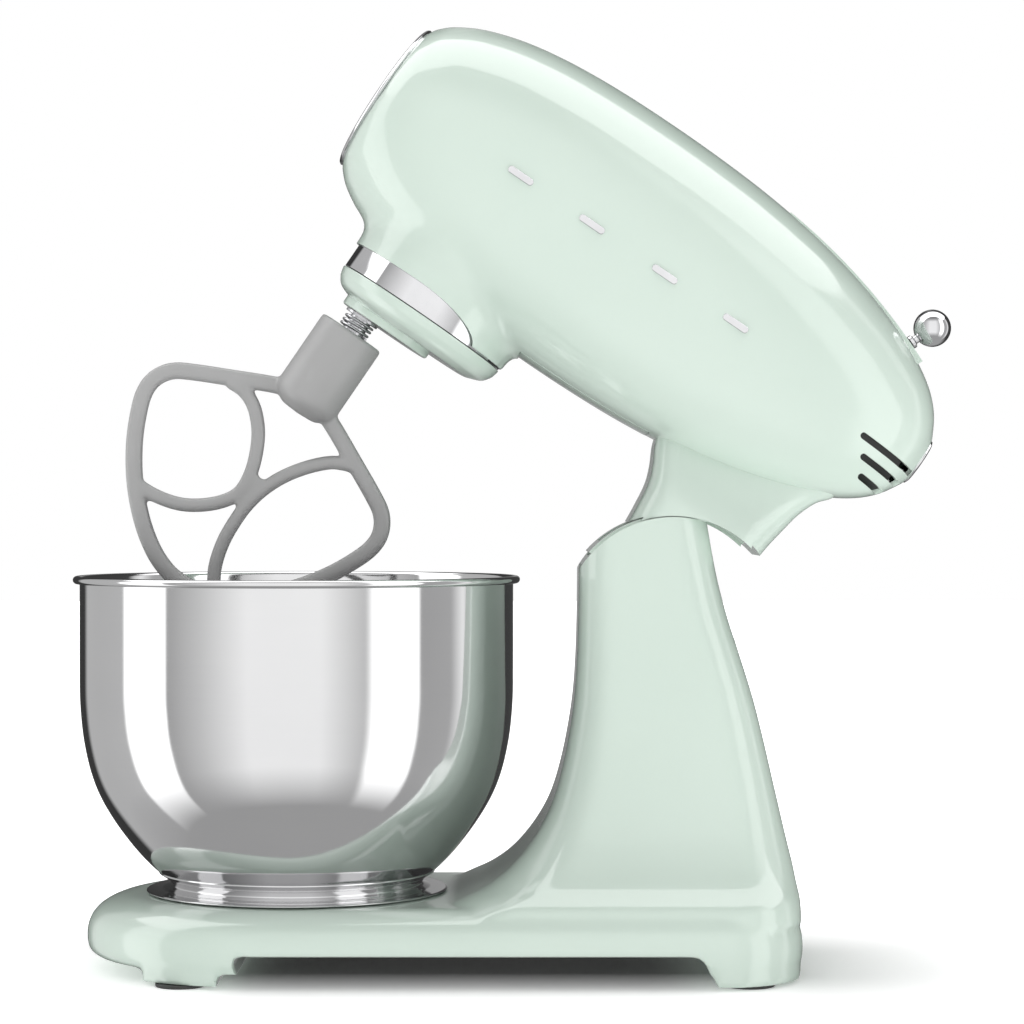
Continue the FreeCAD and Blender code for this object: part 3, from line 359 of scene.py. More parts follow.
def spun(profile, centreX=0.0, steps=144, closed=False):
    # (radius, z) points turned about an upright axis
    bm = bmesh.new()
    verts = [bm.verts.new((centreX + radius, 0, z)) for radius, z in profile]
    edges = [bm.edges.new(pair) for pair in zip(verts, verts[1:])]
    if closed:
        edges.append(bm.edges.new((verts[-1], verts[0])))
    bmesh.ops.spin(bm, geom=verts + edges, cent=(centreX, 0, 0), axis=(0, 0, 1), angle=math.tau, steps=steps,
                   use_merge=True)
    bmesh.ops.remove_doubles(bm, verts=bm.verts, dist=0.0005)
    bmesh.ops.recalc_face_normals(bm, faces=bm.faces)
    return bm


def eased(corners, steps=6):
    # outline with its corners rounded: (a, b, radius) rows
    outline = []
    for index, (x, z, radius) in enumerate(corners):
        here = Vector((x, z))
        if radius == 0 or index in (0, len(corners) - 1):
            outline.append(tuple(here))
            continue
        start = Vector(corners[index - 1][:2]) - here
        end = Vector(corners[index + 1][:2]) - here
        half = start.angle(end) / 2
        reach = min(radius / math.tan(half), start.length * 0.49, end.length * 0.49)
        first = here + start.normalized() * reach
        last = here + end.normalized() * reach
        for step in range(steps + 1):
            t = step / steps
            outline.append(tuple(first.lerp(here, t).lerp(here.lerp(last, t), t)))
    return outline


def plate(outline, low, high, along="Y"):
    # flat (x, z) outline pushed along Y, or an (x, y) outline pushed along Z
    bm = bmesh.new()
    corners = [(a, low, b) if along == "Y" else (a, b, low) for a, b in outline]
    face = bm.faces.new([bm.verts.new(corner) for corner in corners])
    pushed = bmesh.ops.extrude_face_region(bm, geom=[face])
    moved = [item for item in pushed["geom"] if isinstance(item, bmesh.types.BMVert)]
    shift = (0, high - low, 0) if along == "Y" else (0, 0, high - low)
    bmesh.ops.translate(bm, verts=moved, vec=shift)
    bmesh.ops.recalc_face_normals(bm, faces=bm.faces)
    return bm


def rod(radius, start, end, steps=64):
    # round bar between two points
    start, end = Vector(start), Vector(end)
    bm = bmesh.new()
    bmesh.ops.create_cone(bm, cap_ends=True, segments=steps, radius1=radius, radius2=radius,
                          depth=(end - start).length)
    turn = (end - start).to_track_quat("Z", "Y").to_matrix().to_4x4()
    bmesh.ops.transform(bm, matrix=Matrix.Translation((start + end) / 2) @ turn, verts=bm.verts)
    return bm


def joined(*meshes):
    # several meshes as one, for parts that don't touch
    whole = bmesh.new()
    for part in meshes:
        mesh = bpy.data.meshes.new("part")
        part.to_mesh(mesh)
        part.free()
        whole.from_mesh(mesh)
        bpy.data.meshes.remove(mesh)
    return whole


def benchObject(bm):
    mesh = bpy.data.meshes.new("bench")
    bm.to_mesh(mesh)
    bm.free()
    obj = bpy.data.objects.new("bench", mesh)
    bpy.context.scene.collection.objects.link(obj)
    return obj


def worked(bm, *steps):
    # runs modifiers over a mesh in turn and gives back the result
    bench = [benchObject(bm)]
    for kind, value in steps:
        if kind in ("UNION", "DIFFERENCE", "INTERSECT"):
            bench.append(benchObject(value))
            modifier = bench[0].modifiers.new(kind, "BOOLEAN")
            modifier.operation = kind
            modifier.object = bench[-1]
            modifier.solver = "MANIFOLD"
        elif kind == "voxel":
            modifier = bench[0].modifiers.new(kind, "REMESH")
            modifier.mode = "VOXEL"
            modifier.voxel_size = value
        elif kind == "smooth":
            modifier = bench[0].modifiers.new(kind, "SMOOTH")
            modifier.factor = 0.5
            modifier.iterations = value
        elif kind == "wall":
            modifier = bench[0].modifiers.new(kind, "SOLIDIFY")
            modifier.thickness = value
            modifier.offset = -1
    finished = bench[0].evaluated_get(bpy.context.evaluated_depsgraph_get())
    result = bmesh.new()
    result.from_mesh(finished.to_mesh())
    for obj in bench:
        bpy.data.objects.remove(obj)
    return result


def softened(bm, near, times):
    # smooths the vertices that near() picks
    chosen = [vert for vert in bm.verts if near(vert.co)]
    for _ in range(times):
        bmesh.ops.smooth_vert(bm, verts=chosen, factor=0.5, use_axis_x=True, use_axis_y=True, use_axis_z=True)
    return bm


def addPiece(name, bm, nodes, tilted=True, finish=None, sharp=32):
    # puts a piece in its place, on the body of the node that it stands for
    bmesh.ops.transform(bm, matrix=toRow, verts=bm.verts)
    if tilted:
        bmesh.ops.transform(bm, matrix=openHead, verts=bm.verts)
    mesh = bpy.data.meshes.new(name)
    bm.to_mesh(mesh)
    bm.free()
    mesh.shade_smooth()
    mesh.set_sharp_from_angle(angle=math.radians(sharp))
    mesh.materials.append(finishes[finish or slotOf[nodes[0]]])
    piece = bpy.data.objects.new(name, mesh)
    bpy.context.scene.collection.objects.link(piece)
    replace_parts(piece, *nodes)
    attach(piece, frame["nodes"][nodes[0]]["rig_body"])
    print("made", name, len(mesh.polygons), "faces")
    return piece


# bowl

bowl = {"rim": 110.5, "radius": 107.1, "wall": 1.2, "top": 193.0, "bead": 1.9}


def makeBowl():
    wall = bowl["wall"]
    shape = [(41.0, 0.0), (41.0, 30.0), (41.1, 56.0), (43.6, 62.6), (48.0, 69.2), (59.5, 80.2), (76.5, 92.4),
             (91.5, 99.8), (110.0, 104.6), (130.0, 106.8), (150.0, bowl["radius"])]
    outer = [(0.0, 41.0), (30.0, 41.0), (52.0, 41.0), (57.5, 41.4), (61.0, 42.6)]
    outer += [(smoothAt(shape, z)[0], z) for z in (44.5 + 2.4 * step for step in range(44))]
    beadX = bowl["rim"] - bowl["bead"]
    beadZ = bowl["top"] - bowl["bead"]
    outer += [(bowl["radius"], 150.0 + 6 * step) for step in range(1, 7)]
    bead = []
    for step in range(19):
        angle = math.radians(-140 + 320 * step / 18)
        bead.append((beadX + bowl["bead"] * math.cos(angle), beadZ + bowl["bead"] * math.sin(angle)))
    inner = [(max(0.0, radius - wall), z + (wall if z < 60 else 0.0)) for radius, z in reversed(outer)]
    inner[-1] = (0.0, 41.0 + wall)
    addPiece("mixingBowl", spun(outer + bead + inner, steps=180), ["bowl"], tilted=False, sharp=50)


bowlFoot = {"flange": 74.5, "flangeZ": 38.2, "collar": 68.0, "collarZ": 47.2, "waist": 61.4, "lugAngle": 32}


def makeBowlFoot():
    foot = bowlFoot
    z = foot["flangeZ"]
    outer = [(60.2, 42.2, 0), (66.2, foot["collarZ"] - 1.2, 0.6),
             (foot["collar"], foot["collarZ"] + 0.4, 0.5), (foot["collar"] + 0.3, foot["collarZ"] - 0.6, 0.5),
             (66.4, 45.4, 1.0), (63.6, 43.6, 1.5), (foot["waist"], 40.6, 3.0), (66.0, z + 0.9, 5.0),
             (foot["flange"] - 1, z + 0.35, 0.8), (foot["flange"], z - 0.1, 0.3),
             (foot["flange"] - 0.4, 37.6, 0.2), (43.5, 37.6, 0), (43.5, 30.2, 0), (40.0, 30.2, 0),
             (40.0, 41.0, 0)]
    ring = spun(eased(outer), steps=180, closed=True)
    lugs = []
    for turn in (60, 180, 300):
        lug = bmesh.new()
        section = [(43.0, 30.2), (49.5, 30.2), (49.5, 33.8), (43.0, 33.8)]
        face = lug.faces.new([lug.verts.new((radius, 0, height)) for radius, height in section])
        start = Matrix.Rotation(math.radians(turn - foot["lugAngle"] / 2), 3, "Z")
        bmesh.ops.rotate(lug, verts=lug.verts, cent=(0, 0, 0), matrix=start)
        bmesh.ops.spin(lug, geom=[face, *face.edges, *face.verts], cent=(0, 0, 0), axis=(0, 0, 1),
                       angle=math.radians(foot["lugAngle"]), steps=10)
        bmesh.ops.recalc_face_normals(lug, faces=lug.faces)
        lugs.append(lug)
    addPiece("bowlFootRing", joined(ring, *lugs), ["bowl_foot"], tilted=False, sharp=50)


# head

head = {
    "axisZ": 305.0, "front": -78.0, "rear": 241.0, "wall": 2.6,
    "halves": [(-78.0, 39.5), (-76.2, 42.0), (-70.0, 47.8), (-55.0, 55.8), (-30.0, 63.0), (5.0, 67.4),
               (50.0, 68.8), (95.0, 67.6), (130.0, 64.2), (160.0, 58.8), (187.0, 51.4), (208.0, 42.9),
               (224.0, 33.6), (234.0, 24.0), (241.0, 12.4)],
}
hub = {"x": -2.6, "radius": 47.5, "low": 225.4, "high": 268.0, "bore": 46.3, "windowTop": 237.2,
       "windowStart": -12.0, "windowReach": 39.5}


def headHalves(x):
    # half height and half width of the head at x
    high = smoothAt(head["halves"], x)[0]
    middle = 1 - min(1.0, abs(x - 70) / 150.0)
    return high, high * (1.0 - 0.09 * math.sqrt(middle))


def headSkin(inset=0.0, rows=120, columns=112):
    # the ovoid: nearly round above its axis and fuller below towards the rear
    def surface(share, turn):
        x = head["front"] + (head["rear"] - head["front"]) * (0.5 - 0.5 * math.cos(math.pi * share))
        high, wide = headHalves(x)
        angle = math.tau * turn
        fuller = max(0.0, min(1.0, (x + 60) / 200.0)) * min(1.0, high / 45.0)
        power = 2.1 if math.sin(angle) >= 0 else 2.1 + fuller
        c, s = math.cos(angle), math.sin(angle)
        return ((x, (wide - inset) * math.copysign(abs(c) ** (2 / power), c),
                 head["axisZ"] + (high - inset) * math.copysign(abs(s) ** (2 / power), s)))
    return skin(rows, columns, surface)


def windowOutline(grow=0.0):
    # opening for the chrome band: a level top that falls in a quarter ellipse to the disc
    top = hub["windowTop"] + grow
    outline = [(-80.0, 215.0), (-80.0, top), (hub["windowStart"], top)]
    reach = hub["windowReach"] + grow
    for step in range(1, 17):
        angle = math.radians(90 - 90 * step / 16)
        height = hub["low"] + (top - hub["low"]) * math.sin(angle)
        outline.append((hub["windowStart"] + reach * math.cos(angle), height))
    return outline + [(hub["windowStart"] + reach, 215.0)]


def slotOutline(front, middle, rear=240.0, half=1.65):
    # vent slot seen from the side, its front end round
    outline = [(rear, middle - half), (rear, middle + half)]
    for step in range(9):
        angle = math.radians(90 + 180 * step / 8)
        outline.append((front + half + half * math.cos(angle), middle + half * math.sin(angle)))
    return outline


underside = {"front": 48.0, "rear": 122.0, "half": 22.0}


def undersideBlock(grow):
    # where the cover under the head sits
    front, rear = underside["front"] - grow, underside["rear"] + grow
    half = underside["half"] + grow
    return plate([(front, 220), (rear, 220), (rear, 262), (front, 262)], -half, half)


vents = [(206.5, 297.0), (212.5, 288.8), (217.5, 280.6)]      # front end and height of each slot


def makeHead():
    housing = spun(eased([(0, hub["low"], 0), (hub["radius"], hub["low"], 0.8), (hub["radius"], 246, 16),
                          (hub["radius"] + 3, hub["high"], 0), (0, hub["high"], 0)]), hub["x"])
    whole = worked(headSkin(), ("UNION", housing), ("voxel", 2.0), ("smooth", 3))

    def nearHub(co):
        high, wide = headHalves(co.x)
        fromAxis = math.hypot(co.y / wide, (co.z - head["axisZ"]) / high)
        fromHub = math.hypot(co.x - hub["x"], co.y) - hub["radius"]
        return co.z < 275 and abs(fromHub) < 9 and abs((fromAxis - 1) * high) < 8

    whole = softened(whole, nearHub, 22)
    cuts = [rod(36.6, (head["front"] - 6, 0, head["axisZ"]), (head["front"] + 5, 0, head["axisZ"]), 96),
            rod(9.9, (head["rear"] - 5, 0, head["axisZ"]), (head["rear"] + 6, 0, head["axisZ"])),
            rod(hub["bore"], (hub["x"], 0, 215), (hub["x"], 0, 241.5), 144)]
    for front, middle in vents:
        outline = slotOutline(front, middle)
        cuts.append(joined(plate(outline, -60, -9), plate(outline, 9, 60)))
    steps = [("wall", head["wall"])] + [("DIFFERENCE", cut) for cut in cuts]
    steps.append(("DIFFERENCE", plate(windowOutline(), -60, 60)))
    steps.append(("DIFFERENCE", undersideBlock(0.15)))
    addPiece("headShell", worked(whole, *steps), ["head_shell"], sharp=38)


# small parts of the head

def makeFrontCover():
    z = head["axisZ"]
    dome = []
    for step in range(13):
        share = step / 12
        dome.append((37.15 * share, 1.5 * (1 - share ** 2)))
    cover = spun(dome + [(37.15, -0.6), (36.3, -1.2), (36.3, -4.5), (0, -4.5)], steps=128)
    turn = Matrix.Translation((head["front"] - 1.1, 0, z)) @ Matrix.Rotation(-math.pi / 2, 4, "Y")
    bmesh.ops.transform(cover, matrix=turn, verts=cover.verts)
    addPiece("frontCover", cover, ["front_cover"], sharp=50)
    rim = spun(eased([(37.4, -0.8, 0), (37.4, 0.7, 0.3), (38.3, 1.1, 0.4), (39.3, 0.7, 0.4),
                      (39.9, -0.2, 0.3), (39.2, -1.4, 0.2), (37.6, -1.4, 0)]), steps=160, closed=True)
    bmesh.ops.transform(rim, matrix=turn, verts=rim.verts)
    addPiece("frontRing", rim, ["front_ring"], sharp=50)


def makeUndersideCover():
    cover = worked(headSkin(-0.1, 160, 160), ("DIFFERENCE", headSkin(head["wall"], 100, 100)),
                   ("INTERSECT", undersideBlock(-0.15)))
    addPiece("undersideCover", cover, ["underside_cover"], sharp=38)


def makeRearCap():
    turn = Matrix.Translation((head["rear"], 0, head["axisZ"])) @ Matrix.Rotation(math.pi / 2, 4, "Y")
    cap = spun(eased([(0, 1.3, 0), (6.0, 1.2, 4), (9.75, 0.9, 0.8), (9.75, -2.5, 0), (0, -2.5, 0)]), steps=72)
    bmesh.ops.transform(cap, matrix=turn, verts=cap.verts)
    addPiece("rearCap", cap, ["rear_cap"], sharp=50)
    ring = spun(eased([(9.95, -0.4, 0), (9.95, 0.7, 0.2), (11.0, 1.0, 0.4), (12.3, 0.4, 0.4),
                       (12.3, -0.6, 0.2)]), steps=96, closed=True)
    bmesh.ops.transform(ring, matrix=turn, verts=ring.verts)
    addPiece("rearRing", ring, ["rear_ring"], sharp=50)


studs = {"places": (2.0, 43.0, 85.0, 126.0), "length": 14.0, "height": 3.4, "proud": 0.9}


def makeStuds():
    bars = []
    for x in studs["places"]:
        for side in (-1, 1):
            width = headHalves(x)[1]
            bar = bmesh.new()
            bmesh.ops.create_cube(bar, size=1)
            bmesh.ops.scale(bar, vec=(studs["length"], 3.0, studs["height"]), verts=bar.verts)
            middle = (x, side * (width - 1.5 + studs["proud"]), head["axisZ"])
            bmesh.ops.translate(bar, vec=middle, verts=bar.verts)
            ends = [edge for edge in bar.edges if abs(edge.verts[0].co.y - edge.verts[1].co.y) > 2]
            bmesh.ops.bevel(bar, geom=ends, offset=1.6, affect="EDGES", segments=6, profile=0.5, material=-1)
            outer = [edge for edge in bar.edges if all(abs(vert.co.y) > width for vert in edge.verts)]
            bmesh.ops.bevel(bar, geom=outer, offset=0.35, affect="EDGES", segments=3, profile=0.5,
                            material=-1)
            bars.append(bar)
    addPiece("flankBars", joined(*bars), ["side_studs"], sharp=40)


def makeBand():
    outer = hub["radius"] - 1.6
    band = spun(eased([(outer, hub["low"] - 0.4, 0.2), (outer, hub["windowTop"] + 2, 0.2),
                       (outer - 1.4, hub["windowTop"] + 2, 0.2), (outer - 1.4, hub["low"] - 0.4, 0.2)]),
                hub["x"], steps=192, closed=True)
    addPiece("chromeBand", band, ["chrome_band"], sharp=50)


disc = {"radius": 46.3, "top": 224.5, "bottom": 212.6, "stepX": -14.4, "stepRadius": 24.8, "stepZ": 208.9}


def makeDisc():
    outer = [(0, disc["bottom"], 0), (34.0, disc["bottom"], 10), (42.6, disc["bottom"] + 3.2, 12),
             (45.4, disc["top"] - 4.5, 6), (disc["radius"], disc["top"] - 0.9, 0.4),
             (disc["radius"], disc["top"], 0.3), (0, disc["top"], 0)]
    body = spun(eased(outer), hub["x"], steps=160)
    stepTop = disc["bottom"] + 3
    step = spun(eased([(0, disc["stepZ"], 0), (disc["stepRadius"], disc["stepZ"], 1.4),
                       (disc["stepRadius"], stepTop, 0), (0, stepTop, 0)]), disc["stepX"])
    bore = rod(8.5, (beater["x"], 0, 200), (beater["x"], 0, 230))
    shaftHole = rod(6.0, (hub["x"], 0, 216), (hub["x"], 0, 230))
    addPiece("planetDisc", worked(body, ("UNION", step), ("DIFFERENCE", bore), ("DIFFERENCE", shaftHole)),
             ["planet_disc"], sharp=35)


knob = {"radius": 9.3, "stem": 2.1, "collar": 3.4}


def makeKnob():
    # ball on a stalk, square to the arc that the lever follows
    low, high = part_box("speed_knob")
    track = Vector(joints["speed_slide"]["pos_m"])
    middle = Vector((high.x, 0, high.z)) - Vector((knob["radius"], 0, knob["radius"])) * 0.001
    away = (middle - track).normalized()
    ball = knob["radius"]
    stalk = 15.0
    profile = [(0, -stalk + 2.2), (knob["collar"], -stalk + 2.2), (knob["collar"], -stalk + 3.6),
               (knob["stem"], -stalk + 4.4), (knob["stem"], -ball * 0.97)]
    start = math.asin(knob["stem"] / ball)
    for step in range(33):
        angle = start + (math.pi - start) * step / 32
        profile.append((ball * math.sin(angle), -ball * math.cos(angle)))
    piece = spun(profile, steps=72)
    bmesh.ops.scale(piece, vec=(0.001, 0.001, 0.001), verts=piece.verts)
    turn = Matrix.Translation(middle) @ away.to_track_quat("Z", "Y").to_matrix().to_4x4()
    bmesh.ops.transform(piece, matrix=turn, verts=piece.verts)
    bmesh.ops.transform(piece, matrix=toRow.inverted(), verts=piece.verts)
    addPiece("knobAndStalk", piece, ["speed_knob"], tilted=False, sharp=50)


# neck

neck = {
    "gap": 0.5, "arc": 53.0,
    # height, front, rear, half width, corner radius
    "levels": [(160.0, 138.8, 200.4, 38.5, 15.0), (196.0, 138.6, 200.6, 38.5, 15.0),
               (212.0, 137.2, 200.6, 38.4, 15.0), (221.0, 135.7, 200.9, 37.6, 15.0),
               (229.0, 132.6, 201.9, 34.6, 14.5), (238.0, 127.9, 203.6, 30.6, 14.0),
               (249.0, 124.6, 205.9, 26.8, 13.0), (259.0, 123.0, 210.0, 24.6, 12.0),
               (266.0, 122.4, 215.4, 24.0, 12.0), (290.0, 122.0, 219.0, 24.0, 12.0)],
}


def boxRing(front, rear, half, corner, turn):
    # point of a rectangle with round corners, turn running once round from 0 to 1
    spans = [(rear - corner, half - corner, 0), (front + corner, half - corner, 90),
             (front + corner, -half + corner, 180), (rear - corner, -half + corner, 270)]
    place = turn * 4
    index = int(place) % 4
    share = place - int(place)
    x, y, start = spans[index]
    nextX, nextY, _ = spans[(index + 1) % 4]
    if share <= 0.6:
        angle = math.radians(start + 90 * share / 0.6)
        return x + corner * math.cos(angle), y + corner * math.sin(angle)
    angle = math.radians(start + 90)
    share = (share - 0.6) / 0.4
    bend = (corner * math.cos(angle), corner * math.sin(angle))
    return x + (nextX - x) * share + bend[0], y + (nextY - y) * share + bend[1]


def neckSolid(inset):
    low, high = neck["levels"][0][0], neck["levels"][-1][0]

    def surface(share, turn):
        z = low + (high - low) * share
        front, rear, half, corner = smoothAt(neck["levels"], z)
        x, y = boxRing(front + inset, rear - inset, half - inset, corner - inset * 0.8, turn)
        return (x, y, z)
    return skin(80, 120, surface)


def hingeRod(radius, half, steps=220):
    # cylinder about the hinge pin
    return rod(radius, (hingeX, -half, hingeZ), (hingeX, half, hingeZ), steps)


def makeNeck():
    under = neck["arc"] + neck["gap"]
    inner = worked(neckSolid(4.0), ("DIFFERENCE", hingeRod(under + 4, 60, 160)))
    passage = plate([(140, 205), (176, 205), (176, 232), (140, 232)], -17.6, 17.6)
    shell = worked(neckSolid(0), ("DIFFERENCE", hingeRod(under, 60)), ("DIFFERENCE", headSkin(0.25)),
                   ("DIFFERENCE", inner), ("DIFFERENCE", passage),
                   ("DIFFERENCE", hingeRod(neck["arc"] + 1.9, 34.6)))
    addPiece("neckCasting", shell, ["neck_casting"], sharp=35)


# base and column

base = {
    "front": 103.5, "rear": 246.0, "half": 88.0, "join": -8.0, "corner": 40.0, "arch": 16.0, "pad": 1.5,
    "well": 58.6, "wellFloor": 28.0,
    "feet": [(-69.0, -32.0), (202.0, 246.0)],
    # inset and height of the slab's rounded side, from the underside up
    "side": [(5.5, 7.0), (3.4, 7.4), (1.4, 9.0), (0.3, 11.5), (0.0, 14.5), (0.0, 19.0), (0.5, 23.0),
             (1.7, 26.8), (3.8, 30.4), (6.8, 33.4), (10.4, 35.6), (14.0, 36.8), (17.0, 37.0)],
    # height, front, rear, half width, corner radius of the column
    "column": [(28.0, 50.0, 245.0, 83.5, 30.0), (37.0, 77.0, 244.8, 80.5, 30.0),
               (41.0, 86.0, 244.4, 77.0, 28.0), (46.0, 96.0, 243.4, 72.0, 27.0),
               (54.5, 107.0, 242.0, 66.0, 26.0), (68.0, 118.0, 239.0, 59.0, 24.0),
               (82.0, 125.6, 236.0, 54.0, 23.0), (98.0, 130.6, 232.5, 50.0, 22.0),
               (116.0, 134.4, 228.5, 46.5, 21.0), (134.0, 137.0, 224.0, 44.0, 20.0),
               (152.0, 138.3, 218.5, 42.0, 19.0), (174.0, 139.0, 211.5, 40.5, 18.5),
               (196.0, 139.3, 206.0, 39.5, 18.0), (228.0, 139.5, 200.5, 38.5, 18.0)],
}


def planPoint(inset, turn):
    # level outline of the base: half an ellipse in front, round corners behind
    half = base["half"] - inset
    corner = max(8.0, base["corner"] - inset)
    rear = base["rear"] - inset
    noseReach = base["front"] + base["join"] - inset * 1.5
    if turn < 0.4:
        angle = math.radians(90 + 180 * turn / 0.4)
        return base["join"] + noseReach * math.cos(angle), half * math.sin(angle)
    if turn < 0.52:
        share = (turn - 0.4) / 0.12
        return base["join"] + (rear - corner - base["join"]) * share, -half
    if turn < 0.64:
        angle = math.radians(270 + 90 * (turn - 0.52) / 0.12)
        return rear - corner + corner * math.cos(angle), -half + corner + corner * math.sin(angle)
    if turn < 0.76:
        return rear, -half + corner + (2 * half - 2 * corner) * (turn - 0.64) / 0.12
    if turn < 0.88:
        angle = math.radians(90 * (turn - 0.76) / 0.12)
        return rear - corner + corner * math.cos(angle), half - corner + corner * math.sin(angle)
    share = (turn - 0.88) / 0.12
    return rear - corner - (rear - corner - base["join"]) * share, half


def baseSlab(grow, low, high):
    # the slab with its rounded side, or a plain one between two heights
    levels = base["side"] if high is None else [(grow, low), (grow, high)]
    rows = len(levels) - 1

    def surface(share, turn):
        inset, z = levels[round(share * rows)]
        x, y = planPoint(inset, turn)
        return (x, y, z)
    return skin(rows, 200, surface)


def columnSolid(inset, low):
    top = base["column"][-1][0]

    def surface(share, turn):
        z = low + (top - low) * share ** 1.25
        front, rear, half, corner = smoothAt(base["column"], z)
        x, y = boxRing(front + inset, rear - inset, half - inset, corner - inset * 0.8, turn)
        return (x, y, z)
    return skin(90, 140, surface)


def aboveHinge(radius):
    # all that lies over the hinge pin's height, outside a cylinder about the pin
    block = plate([(100, hingeZ), (270, hingeZ), (270, 240), (100, 240)], -60, 60)
    return worked(block, ("DIFFERENCE", hingeRod(radius, 70)))


def footBlock(front, rear, low, high):
    block = plate([(front, low), (rear, low), (rear, high), (front, high)], base["pad"], 20, "Z")
    return worked(block, ("INTERSECT", baseSlab(1.0, -5, 30)))


def archCut():
    # the space between the front and rear feet
    front, rear = base["feet"][0][1], base["feet"][1][0]
    return plate(eased([(front + 10, -5, 0), (front + 10, 6, 2), (front + 6, base["arch"], 9),
                        (60, base["arch"], 0), (rear - 6, base["arch"], 9), (rear - 2, 6, 2),
                        (rear - 2, -5, 0)]), -100, 100)


def hollowInside():
    # the room inside the column and the slab, clear of the bowl's well and the column's top
    hollow = worked(columnSolid(4.0, 30.0), ("UNION", baseSlab(9.0, 20.5, 31.0)))
    return worked(hollow, ("DIFFERENCE", rod(base["well"] + 3, (0, 0, 10), (0, 0, 50), 96)),
                  ("DIFFERENCE", aboveHinge(neck["arc"] - 4)))


def buttonBore():
    low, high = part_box("release_button")
    button = (low + high) / 2
    x = (button.x - bowlX) * 1000
    z = button.z * 1000
    return rod(9.3, (x - 14, 0, z - 3.8), (x + 24, 0, z + 6.4), 72)


def platePocket():
    # recess for the bottom plate
    pocket = baseSlab(5.5, base["arch"] - 1.0, 22)
    return worked(pocket, ("INTERSECT", plate([(-200, 82), (300, 82), (300, -82), (-200, -82)], 0, 60, "Z")))


def makeBase():
    steps = [("UNION", columnSolid(0, 28.0))]
    for front, rear in base["feet"]:
        for low, high in ((-100, -46), (46, 100)):
            steps.append(("UNION", footBlock(front, rear, low, high)))
    steps += [("DIFFERENCE", archCut()), ("voxel", 1.9), ("smooth", 4)]
    well = rod(base["well"], (0, 0, base["wellFloor"]), (0, 0, 60), 144)
    armSlot = plate([(144, 175), (203, 175), (203, 230), (144, 230)], -18.6, 18.6)
    glandBore = rod(7.5, (232, 0, 52), (262, 0, 52), 48)
    cuts = [aboveHinge(neck["arc"]), hollowInside(), well, armSlot, buttonBore(), glandBore, platePocket()]
    steps += [("DIFFERENCE", cut) for cut in cuts]
    addPiece("baseCasting", worked(baseSlab(0, 0, None), *steps), ["base_casting"], tilted=False, sharp=35)


def makeGland():
    # ring in the rear wall that a cord would pass through
    ring = spun(eased([(3.6, 0, 0), (9.5, 0, 0.3), (9.5, 2, 0.3), (7.4, 2, 0), (7.4, 9.3, 0.6),
                       (3.6, 9.3, 0.8)]), steps=64, closed=True)
    turn = Matrix.Translation((233.6, 0, 52)) @ Matrix.Rotation(math.pi / 2, 4, "Y")
    bmesh.ops.transform(ring, matrix=turn, verts=ring.verts)
    addPiece("cordGland", ring, ["cord_gland"], tilted=False, sharp=50)


# beater and its spring

beater = {
    "x": -27.0, "thick": 7.2, "frameWidth": 8.4, "innerWidth": 6.8, "hub": 17.2, "hubTop": 199.4,
    "dome": 151.0,
    "frame": [(4, 161.0), (18, 155.8), (36, 147.3), (54, 138.6), (62.6, 133.4), (67.4, 126.6), (68.6, 119),
              (66.2, 109.5), (58.5, 93.5), (47.3, 77.5), (34, 64), (20.5, 54.5), (8.5, 49.8), (-1.5, 49.0)],
    "ring": [(-36, 145), (-29, 145.2), (-22.5, 143.2), (-16.5, 139), (-10, 131.5), (-4.8, 121.5), (-1.8, 112),
             (-1.2, 103), (-4.5, 95.5), (-12, 87.5), (-22, 81), (-34, 77.5), (-47, 76.5)],
    "arch": [(38.5, 145), (33, 143), (27, 139.5), (19, 131), (12, 120.5), (7.6, 110), (5.4, 100), (4.9, 90),
             (6, 77), (10, 64), (17.5, 52.5)],
}


def bar(points, width, thick):
    # cast bar of rounded section along a smooth line in the middle plane
    def surface(share, turn):
        here = smoothPath(points, share)
        ahead = smoothPath(points, min(1.0, share + 0.004)) - smoothPath(points, max(0.0, share - 0.004))
        across = Vector((-ahead.y, ahead.x)).normalized()
        angle = math.tau * turn
        c, s = math.cos(angle), math.sin(angle)
        side = width / 2 * math.copysign(abs(c) ** 0.62, c)
        out = thick / 2 * math.copysign(abs(s) ** 0.62, s)
        return (beater["x"] + here.x + across.x * side, out, here.y + across.y * side)
    return skin(90, 32, surface)


def makeBeater():
    thick = beater["thick"]
    mirrored = [(-x, z) for x, z in beater["frame"]]
    hubProfile = [(0, beater["dome"], 0), (10.0, beater["dome"] + 0.6, 8), (beater["hub"], 157.0, 7),
                  (beater["hub"], beater["hubTop"], 0.9), (0, beater["hubTop"], 0)]
    x = beater["x"]
    side = thick / 2 - 0.4
    web = plate([(x - 1.5, 114), (x + 7, 114), (x + 5.4, 94), (x - 2.5, 98)], -side, side)
    bars = [bar(mirrored, beater["frameWidth"], thick), bar(beater["ring"], beater["innerWidth"], thick),
            bar(beater["arch"], beater["innerWidth"], thick), web, spun(eased(hubProfile), x, steps=96)]
    whole = bar(beater["frame"], beater["frameWidth"], thick)
    steps = [("UNION", item) for item in bars] + [("voxel", 0.95), ("smooth", 5)]
    pinSlot = plate([(x - 2.1, 180.3), (x + 2.1, 180.3), (x + 2.1, 210), (x - 2.1, 210)], -11.3, 11.3)
    steps += [("DIFFERENCE", rod(5.6, (x, 0, 161.8), (x, 0, 210))), ("DIFFERENCE", pinSlot)]
    addPiece("flatBeater", worked(whole, *steps), ["flat_beater"], sharp=45)


